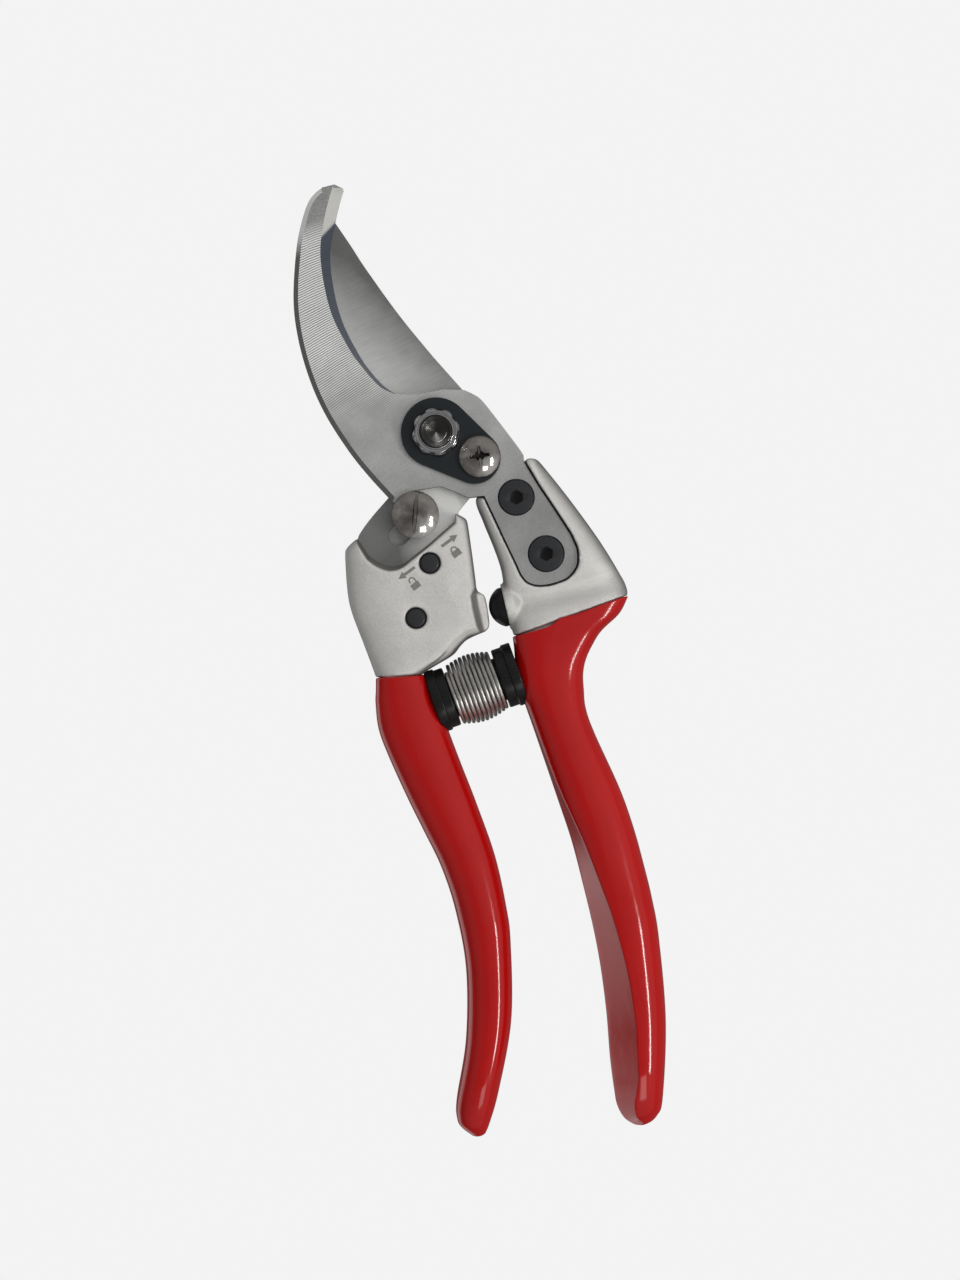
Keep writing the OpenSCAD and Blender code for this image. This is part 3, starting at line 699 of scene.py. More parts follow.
def scratched(f, x, across):
    """Fine scratches along the lines."""
    return f.noise(1.6, 3, 0.6, at=f.joined(x * 0.1, across * 2.6))


def hook_steel():
    """Ground face with clear lines and painted light, a smoother bevel round the back painted as a dark
    reflection with a painted glint near the tip, and a shear wall painted with shadow.
    """
    f = Finish("hook_steel", 0.4)
    x, y, across = grinding(f, (-3, 45, 0.5, 0.12), -17)
    toward_x, _, up = f.parts(f.facing())
    scratches = scratched(f, x, across)
    speckle, patches = f.noise(2.6, 3, 0.7), f.noise(0.16, 3)

    # Lines: clear above the pivot, faint below it, almost none at the tip
    above = y.remap(3, 12)
    faint = even_lines(f, x, across, 0.33, 3.0) * 0.35 + speckle * 0.65
    even = even_lines(f, x, across, 0.46, 1.0) * above + faint * (1 - above)
    depth = y.remap(8, 24, 0.62, 1) * y.remap(43.5, 47.5, 1, 0.12)
    middle_grey = 0.72
    lines = (even * 0.85 + scratches * 0.3 - middle_grey) * depth + middle_grey
    # Brightness: random patches, a painted highlight that brightens the plate from y 8 to 24 upward, and
    # darker towards the tang and at the tip
    level = y.remap(8, 24, 0.72, 1.2) * patches.remap(0.3, 0.7, 0.85, 1.12)
    level = level * y.remap(-16, -4, 0.72, 1)
    tip = y.remap(43.5, 47.5) * speckle.remap(0.3, 0.7, -0.72, -0.5)
    face = f.mix(lines * level * (tip + 1), (0.02, 0.02, 0.02), (1, 1, 0.985))

    # Edges: the shear wall, painted with shadow, which ends in painted light at the tip; and the bevel,
    # painted as a dark reflection with a painted glint near the tip
    shadow = f.mix(scratches, (0.06, 0.072, 0.1), (0.12, 0.135, 0.165))
    painted_lit_end = f.mix(speckle, (0.6, 0.585, 0.55), (0.85, 0.84, 0.8))
    wall = f.mix((y - (x * 0.82 + 54.9)).remap(-0.1, 0.5), shadow, painted_lit_end)
    painted_glint = y.remap(41, 46, 0.12, 1.1) * speckle.remap(0.3, 0.65, 0.75, 1.25)
    bevel = f.mix(painted_glint, (0.08, 0.08, 0.078), (0.95, 0.95, 0.93))
    steep = f.math("ABSOLUTE", up).remap(0.85, 0.97, 1, 0)
    f.colour(steep, face, f.mix(toward_x.remap(0.1, 0.25), bevel, wall))
    f.rough(scratches, 0.34, 0.5)
    f.bump(lines, 0.006)
    return f.material


def blade_steel():
    """Fine brushing on a face with painted shade: pale towards its edge and darker towards its back, and
    a tang painted darker on its left.
    """
    f = Finish("blade_steel", 0.5)
    x, y, across = grinding(f, (-60, 60, 0.2, 0.2), -10)
    scratches = scratched(f, x, across)
    # Painted shade: the face darkens towards its back, and the tang is painted darker on its left and
    # lighter on its right
    back = (f.noise(0.3, 3) - 0.5) * 3.5 + (x * 0.81 + y * 0.59)
    blade = back.remap(2, 15, 0.72, 0.17) * y.remap(-4, 2)
    tang = x.remap(-13, -4, 0.22, 1.3) * y.remap(-4, 2, 1, 0)
    lines = even_lines(f, x, across, 0.3, 1.5) * 0.14 + scratches * 0.5
    f.colour((lines + 0.68) * (blade + tang), (0.02, 0.02, 0.02), (1, 1, 0.975))
    f.rough(scratches, 0.3, 0.45)
    f.bump(lines, 0.006)
    return f.material


def cast_aluminium():
    """Tumbled casting: a pale, finely grained face, with painted shade that darkens its sides, and more
    so those facing the lower right.
    """
    f = Finish("cast_aluminium", 0.6)
    grain = f.noise(2.4, 3, 0.65)
    right, along, up = f.parts(f.facing())
    # Painted shade: sides are darker the steeper they are, and darker again where they face the lower
    # right
    level = f.math("ABSOLUTE", up).remap(0.2, 0.96, 0.36, 1)
    level = level * (right * 0.83 - along * 0.56).remap(0.02, 0.4, 1, 0.66)
    shade = grain.remap(0.2, 0.8) * 0.55 + f.noise(0.22, 2) * 0.45
    f.colour((shade * 0.3 + 0.66) * level, (0, 0, 0), (1, 0.98, 0.94))
    f.rough(grain, 0.48, 0.62)
    f.bump(grain, 0.045)
    f.bump(f.noise(0.6, 2), 0.08, 0.6)
    return f.material


def red_vinyl():
    """Dipped vinyl: glossy towards the handles' ends, duller towards the castings."""
    f = Finish("red_vinyl")
    _, y, _ = f.parts(f.position)
    f.colour(f.noise(0.07, 3), (0.38, 0.0025, 0.0025), (0.46, 0.004, 0.004))
    f.rough(f.noise(0.5, 3) + y.remap(-100, -64, 0, 2.4), 0.08, 0.17)
    f.bump(f.noise(0.28, 1), 0.05, 0.5)
    return f.material


def painted_highlight_wedge(f, at, towards, sharpness):
    """From 0 to 1: a painted highlight, the pale sector that a turned face shows from its centre in one
    direction.
    """
    x, y, _ = f.parts(f.position)
    angle = f.math("ARCTAN2", y - at[1], x - at[0])
    stray = f.noise(0.8, 2) * 1.2 - (0.6 + math.radians(towards))
    return f.math("POWER", f.math("COSINE", angle + stray).remap(-1, 1), sharpness)


def bolt_steel():
    """Dark turned bolt, with fine rings and a painted highlight across its end."""
    f = Finish("bolt_steel", 1.0)
    x, y, _ = f.parts(f.position)
    radius = f.math("SQRT", x * x + y * y)
    rings = f.noise(2.5, 2, at=f.joined(radius * 4, 0.0))
    # Painted highlight: a pale sector from the centre, fading outwards
    glow = painted_highlight_wedge(f, (0, 0), -92, 14) * radius.remap(0.2, 3.2, 1, 0.25)
    f.colour(rings * 0.13 + glow * 0.9, (0.004, 0.004, 0.004), (1, 0.97, 0.93))
    f.rough(rings, 0.18, 0.34)
    f.bump(rings, 0.015)
    return f.material


def domed_steel(name, at):
    """Polished nickel dome with painted reflections: dark and warm on one side, pale towards the light
    on the other, with painted highlights in three directions.
    """
    f = Finish(name, 1.0)
    cloud = f.noise(0.7, 3)
    # Painted reflections: random clouding plus three painted highlight sectors
    pale = cloud * 0.3
    for towards, sharpness, share in ((-65, 6, 0.6), (75, 4, 0.12), (160, 30, 0.3)):
        pale = pale + painted_highlight_wedge(f, at, towards, sharpness) * share
    f.colour(pale, (0.17, 0.145, 0.13), (0.98, 0.95, 0.91))
    f.rough(cloud, 0.07, 0.16)
    f.bump(f.noise(1.1, 1), 0.03, 0.6)
    return f.material


def plated(name, dark, light, roughness, metallic=1.0):
    """Bright plating with faint clouding."""
    f = Finish(name, metallic)
    cloud = f.noise(1.2, 3)
    f.colour(cloud, dark, light)
    f.rough(cloud, roughness * 0.7, roughness * 1.4)
    f.bump(f.noise(1.8, 1), 0.02, 0.5)
    return f.material


def spring_wire():
    f = Finish("spring_wire", 1.0)
    streaks = f.noise(1.4, 3, 0.6)
    f.colour(streaks, (0.4, 0.38, 0.36), (0.85, 0.83, 0.8))
    f.rough(streaks, 0.28, 0.42)
    f.bump(f.noise(6, 2), 0.01)
    return f.material


def grained(name, grain, dark, light, roughness, relief, metallic=0.0, specular=0.5):
    """Dark finish whose colour, gloss and relief all follow one fine grain."""
    f = Finish(name, metallic, specular)
    noise = f.noise(*grain)
    f.colour(noise, dark, light)
    f.rough(noise, *roughness)
    f.bump(noise, relief)
    return f.material


def moulded_black(name, roughness):
    """Black rubber or plastic with a fine moulded texture."""
    rough = (roughness * 0.8, roughness * 1.2)
    return grained(name, (2.5, 3), (0.004,) * 3, (0.014,) * 3, rough, 0.02, specular=0.28)


ETCHED = grained(
    "etched_marks", (3.2, 3, 0.65), (0.17, 0.165, 0.155), (0.33, 0.32, 0.3), (0.5, 0.7), 0.01, 0.3
)
ZINC_PLATE = plated("zinc_plate", (0.42, 0.42, 0.41), (0.62, 0.62, 0.6), 0.4, 0.3)
CROSS_HEAD = domed_steel("cross_head_steel", LOCK_SCREW_AT)
# Near-black material that paints the shade inside driver recesses and on a slot's shadowed wall
PAINTED_RECESS_SHADE = grained("painted_recess_shade", (3, 2), (0.002,) * 3, (0.01,) * 3, (0.3, 0.5), 0.01, 0.2)
MATERIALS = {
    "hook_steel": hook_steel(),
    "blade_steel": blade_steel(),
    "cast_aluminium": cast_aluminium(),
    "red_vinyl": red_vinyl(),
    "black_oxide_steel": grained(
        "black_oxide_steel", (5, 3), (0.018, 0.019, 0.02), (0.075, 0.077, 0.082), (0.26, 0.42),
        0.01, 0.55,
    ),
    "bolt_steel": bolt_steel(),
    "bronze": plated("bronze", (0.4, 0.26, 0.12), (0.55, 0.38, 0.2), 0.3),
    "chromed_steel": plated("chromed_steel", (0.6, 0.6, 0.6), (0.78, 0.78, 0.79), 0.12),
    "nickel_steel": domed_steel("stud_steel", STUD_AT),
    "black_plate": grained(
        "black_plate", (4, 3), (0.008, 0.011, 0.013), (0.022, 0.026, 0.03), (0.34, 0.46), 0.012, 0.2
    ),
    "black_rubber": moulded_black("black_rubber", 0.4),
    "black_plastic": moulded_black("black_plastic", 0.26),
    "spring_wire": spring_wire(),
}


# ---- Cutters ----


def rod(at, r, low, high):
    """Round cutter."""
    return prism("rod", circle(at, r), low, high)


def edge_cut(edge, inner, edge_z, face_z):
    """Cutter that slopes a plate's edge, from edge at edge_z to inner on the face at face_z."""
    past = 0.3
    k = np.column_stack([edge, np.full(len(edge), edge_z)])
    f = np.column_stack([inner, np.full(len(inner), face_z)])
    low = k + past * (k - f)
    high = f + past * (f - k)
    corner = np.column_stack([low[:, :2], high[:, 2]])
    return skin("edge_cut", np.stack([high, corner, low], axis=1))


SCREW_HEAD_R = half_width("hook_screw_upper")
SCREW_HEAD_H = 2.3
SCREW_RIM = 0.4
SCREW_SINK = 0.1


def countersink(at, face_z, up=1, room=0.07):
    """Cutter for a countersunk screw whose head faces up (1) or down (-1) at face_z."""
    r, head = SHANK_R + room, SCREW_HEAD_R + room
    sunk = lathe("countersink", [
        (0, -6), (r, -6), (r, -SCREW_HEAD_H), (head, -SCREW_RIM), (head, 1), (0, 1)
    ], 64)
    return moved(sunk, (at[0], at[1], face_z - up * SCREW_SINK), flip=up < 0)


# ---- Steel plates ----


def hook_plate():
    chamfer, land = 1.0, 0.2
    inner = hook_outer + chamfer * inward(hook_outline)[:len(hook_outer)]
    obj = prism("hook_plate", hook_outline, SHEAR_Z, HOOK_FRONT)
    cut(
        obj,
        edge_cut(shear_edge, shear_edge_front, SHEAR_Z + land, HOOK_FRONT),
        edge_cut(hook_outer, inner, HOOK_FRONT - chamfer, HOOK_FRONT),
        rod((0, 0), BOLT_R, SHEAR_Z - 1, HOOK_FRONT + 1),
        rod(LOCK_SCREW_AT, SHANK_R, SHEAR_Z - 1, HOOK_FRONT + 1),
        *[countersink(at, HOOK_FRONT) for at in HOOK_SCREW_AT],
    )
    bevelled(obj, 0.1)
    place(obj, "hook_side", "hook_steel", "hook_blade", even=True)


def bypass_blade():
    bevel, edge_thickness = 4.5, 0.3
    t = np.linspace(0, 1, len(blade_edge))
    widths = bevel * np.minimum(1, np.minimum(0.1 + 2 * t, 5.1 - 5 * t))  # less at both ends
    inner = blade_edge + widths[:, None] * inward(blade_outline)[:len(blade_edge)]
    slot_end = STUD_AT + LOCK_TRAVEL * LOCK_DIR
    slot = teardrop(STUD_AT, SHANK_R + 0.11, slot_end, SHANK_R + 0.1)
    obj = prism("bypass_blade", blade_outline, BLADE_BACK, BLADE_FRONT)
    cut(
        obj,
        edge_cut(blade_edge, inner, BLADE_FRONT - edge_thickness, BLADE_BACK),
        rod((0, 0), BOLT_R + 0.05, BLADE_BACK - 1, BLADE_FRONT + 1),
        prism("slot", slot, BLADE_BACK - 1, BLADE_FRONT + 1),
        *[countersink(at, BLADE_BACK, -1) for at in BLADE_SCREW_AT],
    )
    bevelled(obj, 0.08)
    place(obj, "blade_side", "blade_steel", "cutting_blade", even=True)


# ---- Castings and grips ----


def grip_ys(border, end, count):
    """Heights of a grip's rings, closer together at both ends."""
    t = np.linspace(0, 1, count)
    return border + (end - border) * (t - 0.09 * np.sin(2 * np.pi * t))


def fading(amount, distance, reach):
    """The amount, which fades out over the reach."""
    return amount * np.clip(1 - distance / reach, 0, 1)


def casting(name, own, grip):
    """Solid casting: its own shape, a step in at the grip's border, then the core inside."""
    border, slant = grip["border"], grip["slant"]
    spacing, sides = 0.35, 96
    inset = GRIP_WALL + GRIP_GAP
    step_y = border + 0.1
    own_ys = np.linspace(own["top"], step_y, int((own["top"] - step_y) / spacing))
    core_ys = grip_ys(border, grip["end"] + 2, 60)[1:]
    own_slants = fading(slant, own_ys - step_y, ABOVE_BORDER)
    core_slants = fading(slant, border - core_ys, BELOW_BORDER)
    return skin(name, np.vstack([
        handle_rings(own, own_ys, own_slants, sides=sides),
        handle_rings(grip, [step_y], [slant], inset, sides),
        handle_rings(grip, core_ys, core_slants, inset, sides),
    ]))


def round_cutter(r, low, high, segments=64):
    """Round cutter about the origin, to be put in a cup's or the bumper's frame."""
    return lathe("round_cutter", [(0, low), (r, low), (r, high), (0, high)], segments)


def cup_bore(side):
    """Cutter for a spring cup's stem."""
    return framed(round_cutter(2.42, -5, 4, 48), cup_frame(side))


def hook_casting():
    """Casting with the tang's pocket, and a boss for the bumper."""
    pocket = grown(np.vstack([
        [(13, -4), (3, -8), (3, -14.3), (6.6, -14.7)], tang_left, tang_end, tang_right,
        [(16.2, -8.5)],
    ]), TANG_GAP)
    obj = casting("hook_handle_casting", hook_cast, hook_grip)
    boss = lathe("boss", [(0, -9), (0.5, -9), (4.65, -1.2), (4.65, 0.6), (0, 0.6)], 64)
    cut(obj, framed(boss, bumper_frame()), operation="UNION")
    cut(
        obj,
        prism("pocket", pocket, SHEAR_Z - 0.03, CAST_FRONT + 3),
        framed(round_cutter(4.1, 0, 6), bumper_frame()),
        cup_bore(1),
        *[rod(at, SHANK_R, 0, SHEAR_Z + 1) for at in HOOK_SCREW_AT],
    )
    remeshed(obj, 8)
    place(obj, "hook_side", "cast_aluminium", "hook_handle", 80)


def blade_casting():
    """Casting with the lock's hollow, the low nose and the sloped rim, and the tang behind."""
    rim_knee = 0.71 * rim + 0.29 * rim_top
    obj = casting("blade_handle_casting", blade_cast, blade_grip)
    cut(
        obj,
        prism("scoop", scoop, -1, 8.2),
        prism("scoop_slope", scoop, 8.1, CAST_FRONT + 0.3, (0, 0), (-0.6, -1.0)),
        prism("nose", nose, NOSE_Z, CAST_FRONT + 0.3, (0.5, 0), (-0.9, 0)),
        edge_cut(rim, rim_knee, CAST_FRONT - 2.8, CAST_FRONT - 0.8),
        edge_cut(rim_knee, rim_top, CAST_FRONT - 0.8, CAST_FRONT),
        prism("tang", grown(blade_tang, TANG_GAP), -1, SHEAR_Z),
        cup_bore(-1),
        *[rod(at, SHANK_R + 0.1, SHEAR_Z - 1, CAST_FRONT + 1) for at in BLADE_SCREW_AT],
    )
    remeshed(obj, 14)
    place(obj, "blade_side", "cast_aluminium", "blade_handle", 80)


def dipped_grip(name, body, node, grip):
    """Dipped skin: up its inside, over a rounded lip at the border, and down the outside."""
    border, slant, end = grip["border"], grip["slant"], grip["end"]
    sides, lip = 144, 0.3
    tip, tip_inset = 0.5, 0.9
    inner_ys = grip_ys(border, end + 1.6, 60)[::-1]
    outer_ys = grip_ys(border - lip, end + tip, 170)
    inner_slants = fading(slant, border - inner_ys, BELOW_BORDER)
    outer_slants = fading(slant, border - outer_ys, BELOW_BORDER)
    rings = [handle_rings(grip, inner_ys, inner_slants, GRIP_WALL, sides)]
    for angle in np.linspace(0, math.pi / 2, 5)[1:-1]:
        y = border - lip * (1 - math.cos(angle))
        rings.append(handle_rings(grip, [y], [slant], lip * (1 - math.sin(angle)), sides))
    rings.append(handle_rings(grip, outer_ys, outer_slants, 0, sides))
    for angle in np.linspace(0, math.pi / 2, 6)[1:]:
        y = end + tip - tip * math.sin(angle)
        rings.append(handle_rings(grip, [y], [0], tip_inset * (1 - math.cos(angle)), sides))
    rings = np.vstack(rings)
    if "wander" in grip:
        rings = wandering(rings, grip)
    obj = skin(name, rings)
    cut(obj, framed(round_cutter(6.55, 0, 11), cup_frame(grip["cup"])))
    place(obj, body, "red_vinyl", node, 60)


def wandering(rings, grip):
    """Moves the border up and down on the front, fading out below it."""
    middle_z, rise = 8, 4
    x, y, z = rings[..., 0], rings[..., 1], rings[..., 2]
    left, right = along_rail(grip["left"], y), along_rail(grip["right"], y)
    across = np.clip((2 * x - left - right) / (right - left), -1, 1)
    front = np.clip((z - middle_z) / rise, 0, 1)
    fade = fading(1, grip["border"] - y, ABOVE_BORDER)
    rings[..., 1] = y + along_rail(grip["wander"], across) * front * fade
    return rings


# ---- Spring, cups and bumper ----


def cup_frame(side):
    """Frame of a spring cup's outer face, side -1 on the blade handle and 1 on the hook's.
    +Z points at the spring."""
    mid = Vector(SPRING_AT) + Matrix.Rotation(SPRING_TILT, 3, "Z") @ Vector((0.15, 0, 0))
    turn = Matrix.Rotation(SPRING_TILT, 4, "Z")
    point = Matrix.Rotation(-side * math.pi / 2, 4, "Y")
    return Matrix.Translation(mid) @ turn @ Matrix.Translation((side * CUP_OUT[side], 0, 0)) @ point


def spring_cup(name, body, node, side, thick):
    """Moulded cup: a flange against the grip, a step, and a boss inside the spring."""
    r, body_r = 6.5, 6.15
    profile = [
        (0, -3.5), (2.2, -3.5), (2.4, -3.3), (2.4, 0), *arc((r - 0.3, 0.3), 0.3, -90, 0, 5),
        *arc((r - 0.25, 1.75), 0.25, 0, 80, 6), (body_r, 2.1), (body_r, 2.25),
        *arc((body_r - 0.35, thick - 0.35), 0.35, 0, 90, 7), (4.6, thick), (4.5, thick - 0.1),
        (4.3, thick + 1.6), *arc((3.9, thick + 1.6), 0.4, 0, 90, 4), (0, thick + 2),
    ]
    obj = framed(lathe(name, profile), cup_frame(side))
    place(obj, body, "black_plastic", node)


def coil_spring():
    """Wire wound between the cups, wider at its middle."""
    wire_r, turns, sides = 0.4, 10.5, 10
    end_r, mid_r = 6.1, 7.1
    start, end = -5.3, 4.95
    per_turn, first_turn = 40, 0.6
    t = np.linspace(0, 1, int(turns * per_turn) + 1)

    # The wire's path: a turn at each end is closer wound
    closed = 0.85 / turns
    pace = np.where((t < closed) | (t > 1 - closed), 0.8, 1.0)
    along = np.concatenate([[0], np.cumsum(pace[1:])])
    along = start + wire_r + (end - start - 2 * wire_r) * along / along[-1]
    turn = 2 * np.pi * turns * t + first_turn
    r = end_r + (mid_r - end_r) * np.sin(np.pi * t) - wire_r
    centre = np.stack([along, r * np.cos(turn), r * np.sin(turn)], axis=1)

    # Rings of wire square to the path
    ahead = np.gradient(centre, axis=0)
    ahead /= np.linalg.norm(ahead, axis=1)[:, None]
    outward = np.stack([np.zeros_like(turn), np.cos(turn), np.sin(turn)], axis=1)
    sideways = np.cross(ahead, outward)
    sideways /= np.linalg.norm(sideways, axis=1)[:, None]
    outward = np.cross(sideways, ahead)
    a = (np.arange(sides) * 2 * np.pi / sides)[None, :, None]
    offset = wire_r * (np.cos(a) * outward[:, None] + np.sin(a) * sideways[:, None])
    obj = skin("compression_spring", centre[:, None] + offset)
    lying = Matrix.Rotation(math.pi / 2, 4, "Y")
    to_frame = cup_frame(1) @ Matrix.Translation((0, 0, CUP_OUT[1])) @ lying
    obj.data.transform(to_frame)
    shaded(obj, 60)

    # Every ring is drawn in to its centre while the object's transform is applied, then its points are
    # put back
    points = np.array([v.co for v in obj.data.vertices]) * MM
    centres = np.repeat(points.reshape(-1, sides, 3).mean(1), sides, 0)
    obj.data.vertices.foreach_set("co", centres.astype(np.float32).ravel())
    obj.data.materials.append(MATERIALS["spring_wire"])
    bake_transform(obj)
    obj.data.vertices.foreach_set("co", points.astype(np.float32).ravel())
    obj.data.update()
    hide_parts("coil_spring")


def bumper_frame():
    """Frame of the bumper's foot: +Z points at the other handle."""
    foot = 6.2
    at = Matrix.Translation((foot, BUMPER_AT[1], BUMPER_AT[2]))
    return at @ Matrix.Rotation(-math.pi / 2, 4, "Y")


def bumper():
    """Rubber stop: a stem pressed into the casting, and a domed pad."""
    r, height = half_width("bumper", 1), 3.9
    pad = dome_profile(r, 1.3, height)[1:]
    obj = lathe("bumper_stop", [(0, -4.5), (1.8, -4.5), (2.0, -4.2), (2.0, 0), *pad], 72)
    place(framed(obj, bumper_frame()), "hook_side", "black_rubber", "bumper")


# ---- Pivot ----


def hex_ring(across_flats):
    """Ring shape that keeps a lathe's radius inside a hexagon."""
    def radius(r, angles):
        from_flat = (angles + math.pi / 6) % (math.pi / 3) - math.pi / 6
        return np.minimum(r, across_flats / 2 / np.cos(from_flat))
    return radius


def pivot_bolt():
    corner = half_width("pivot_bolt")
    flats = 2 * corner * math.cos(math.pi / 6)
    head = 3.9
    low, high = levels("pivot_bolt")
    profile = [
        (0, low), (flats / 2 - 0.5, low), (flats / 2 + 0.1, low + 0.2), (corner, low + 0.85),
        (corner, head - 0.7), (flats / 2 + 0.1, head - 0.1), (flats / 2 - 0.2, head),
        (BOLT_R, head), (BOLT_R, HOOK_FRONT - 0.05), (THREAD_R, HOOK_FRONT + 0.05),
        (THREAD_R, high - 0.25), (THREAD_R - 0.12, high - 0.04), (THREAD_R - 0.25, high),
        (THREAD_R - 0.4, high - 0.1), (2.2, high - 0.55), (2.1, high - 0.5), (0.45, high - 1.3),
        (0, high - 1.35),
    ]
    obj = lathe("pivot_hex_bolt", profile, 144, radius=hex_ring(flats))
    place(obj, "hook_side", "bolt_steel", "pivot_bolt", 30)


def thrust_washer():
    low, high = levels("pivot_washer")
    r = half_width("pivot_washer")
    inner = BOLT_R + 0.05
    soft = 0.06
    obj = lathe("thrust_washer", [
        (inner, low), (r - soft, low), (r, low + soft), (r, high - soft), (r - soft, high), (inner, high)
    ], 96, closed=True)
    place(obj, "hook_side", "bronze", "pivot_washer")


def valleys(angles):
    """From 0 on each lobe of the nut to 1 between two lobes."""
    lobes = 8
    return (0.5 - 0.5 * np.cos(lobes * angles)) ** 1.2


def pivot_nut():
    low, high = levels("pivot_nut")
    r = half_width("pivot_nut")
    round_r, depth = 4.15, 0.42

    def lobed(ring_r, angles):
        share = np.clip((ring_r - round_r) / (r - round_r), 0, 1)
        return ring_r - depth * share * valleys(angles)

    profile = [
        (THREAD_R + 0.02, low), (r - 0.1, low), (r, low + 0.1), (r, high - 1.0),
        *arc((r - 0.3, high - 1.0), 0.3, 0, 55, 6)[1:], (4.35, high - 0.32),
        *arc((4.2, high - 0.42), 0.25, 55, 90, 4), (3.75, high - 0.2), (3.6, high - 0.3),
        *arc((3.42, high - 0.14), 0.14, -20, 180, 7), (THREAD_R + 0.02, high - 0.5),
    ]
    obj = lathe("adjuster_nut", profile, 192, closed=True, radius=lobed)
    place(obj, "hook_side", "chromed_steel", "pivot_nut")


def nut_lock_plate():
    """Plate round the nut, whose hole has the nut's lobes."""
    outline = teardrop((0, 0), 7.1, (6.4, -6.7), 5.3, 64)
    obj = prism("nut_lock_plate_piece", outline, HOOK_FRONT, LOCK_PLATE_FRONT)
    count, gap, depth = 192, 0.06, 0.3
    turn = np.arange(count) * 2 * np.pi / count
    hole = circle((0, 0), half_width("pivot_nut") + gap - depth * valleys(turn), count)
    cut(
        obj,
        prism("hole", hole, HOOK_FRONT - 1, LOCK_PLATE_FRONT + 1),
        rod(LOCK_SCREW_AT, SHANK_R, HOOK_FRONT - 1, LOCK_PLATE_FRONT + 1),
    )
    bevelled(obj, 0.16, 40, 3)
    place(obj, "hook_side", "black_plate", "nut_lock_plate", even=True)


# ---- Fasteners ----


def tapered_bar(length, width, low, high, spin):
    """Cutter for a driver's blade: wider at the top."""
    taper = 0.6
    corners = [(-0.5, -0.5), (0.5, -0.5), (0.5, 0.5), (-0.5, 0.5)]
    rings = [
        [(x * (length - lean), y * (width - lean), z) for x, y in corners]
        for z, lean in ((low, taper), (high, 0))
    ]
    return moved(skin("bar", rings), spin=spin)


def nut_lock_screw():
    """Pan head screw with a cross recess."""
    low, high = levels("nut_lock_screw")
    r = half_width("nut_lock_screw")
    height = high - LOCK_PLATE_FRONT
    head = dome_profile(r, 0.9, height, 18)[1:]
    end = low - LOCK_PLATE_FRONT
    obj = lathe("cross_head_screw", [(0, end), (SHANK_R, end), (SHANK_R, 0), *head], 96)
    for i, degrees in enumerate((-5, 85)):
        top = height + 0.5 + 0.1 * i
        cut(obj, tapered_bar(4.2, 0.95, height - 1.3, top, math.radians(degrees)))
    well = [(0, height - 1.7), (0.75, height - 1.1), (1.1, height + 0.4), (0, height + 0.4)]
    cut(obj, moved(lathe("well", well, 30), spin=0.05))
    bevelled(obj, 0.07, 35, 2)
    # Painted shade: the centre well of the cross recess is made near-black
    paint_recess_shade(obj, lambda x, y, z: math.hypot(x, y) < 0.85 and 0.5 < z < height - 1.25)
    moved(obj, (*LOCK_SCREW_AT, LOCK_PLATE_FRONT))
    place(obj, "hook_side", "nickel_steel", "nut_lock_screw", material=CROSS_HEAD)


def socket_screw(name, body, node, at, face_z, up, tip):
    """Countersunk screw with a hexagon socket. up is 1 if its head faces +Z, else -1."""
    head_z = face_z - up * SCREW_SINK
    length = abs(head_z - tip)
    head_r = SCREW_HEAD_R - 0.12
    profile = [
        (0, -length), (SHANK_R - 0.45, -length), (SHANK_R - 0.05, -length + 0.35),
        (SHANK_R - 0.05, -SCREW_HEAD_H - 0.05), (head_r, -SCREW_RIM - 0.1), (head_r, -0.14),
        (head_r - 0.14, 0), (1.9, 0), (0, 0),
    ]
    obj = lathe(name, profile, 96)
    across, depth = 2.6, 1.6
    hexagon = circle((0, 0), across / 2 / math.cos(math.pi / 6), 6)
    cone = lathe("cone", [(0, -depth - 0.5), (across / 2, -depth + 0.1), (0, -depth + 0.2)], 32)
    cut(obj, prism("socket", hexagon, -depth, 1), cone)
    bevelled(obj, 0.06, 40, 2)
    # Painted shade: the inside of the hexagon socket is made near-black
    paint_recess_shade(obj, lambda x, y, z: math.hypot(x, y) < 1.52 and -depth - 1 < z < -0.07)
    moved(obj, (at[0], at[1], head_z), spin=0.3, flip=up < 0)
    place(obj, body, "black_oxide_steel", node)


def handle_screws():
    for at, node in zip(HOOK_SCREW_AT, ("hook_screw_upper", "hook_screw_lower")):
        socket_screw(node + "_socket", "hook_side", node, at, HOOK_FRONT, 1, levels(node)[0])
    for at, node in zip(BLADE_SCREW_AT, ("blade_screw_upper", "blade_screw_lower")):
        socket_screw(node + "_socket", "blade_side", node, at, BLADE_BACK, -1, levels(node)[1])


# ---- Lock ----


def lock_stud():
    """Domed stud with a driver slot, which slides in the blade's slot."""
    low, high = levels("lock_stud")
    r = half_width("lock_stud")
    seat = HOOK_FRONT + 0.35
    height = high - seat
    head = dome_profile(r, 0.7, height, 20)[1:]
    shank = 2.0
    obj = lathe("lock_stud_slotted", [(0, low - seat), (shank, low - seat), (shank, 0), *head], 128)
    slot_turn = math.radians(72)
    cut(obj, tapered_bar(2 * r + 2, 1.2, height - 1.15, height + 1, slot_turn))
    bevelled(obj, 0.06, 35, 2)
    # Painted shadow: one wall of the slot is made near-black
    wall_x, wall_y = math.sin(slot_turn), -math.cos(slot_turn)
    paint_recess_shade(obj, lambda x, y, z: 0.25 < x * wall_x + y * wall_y < 0.7, walls_only=True)
    moved(obj, (*STUD_AT, seat))
    place(obj, "lock_catch", "nickel_steel", "lock_stud")


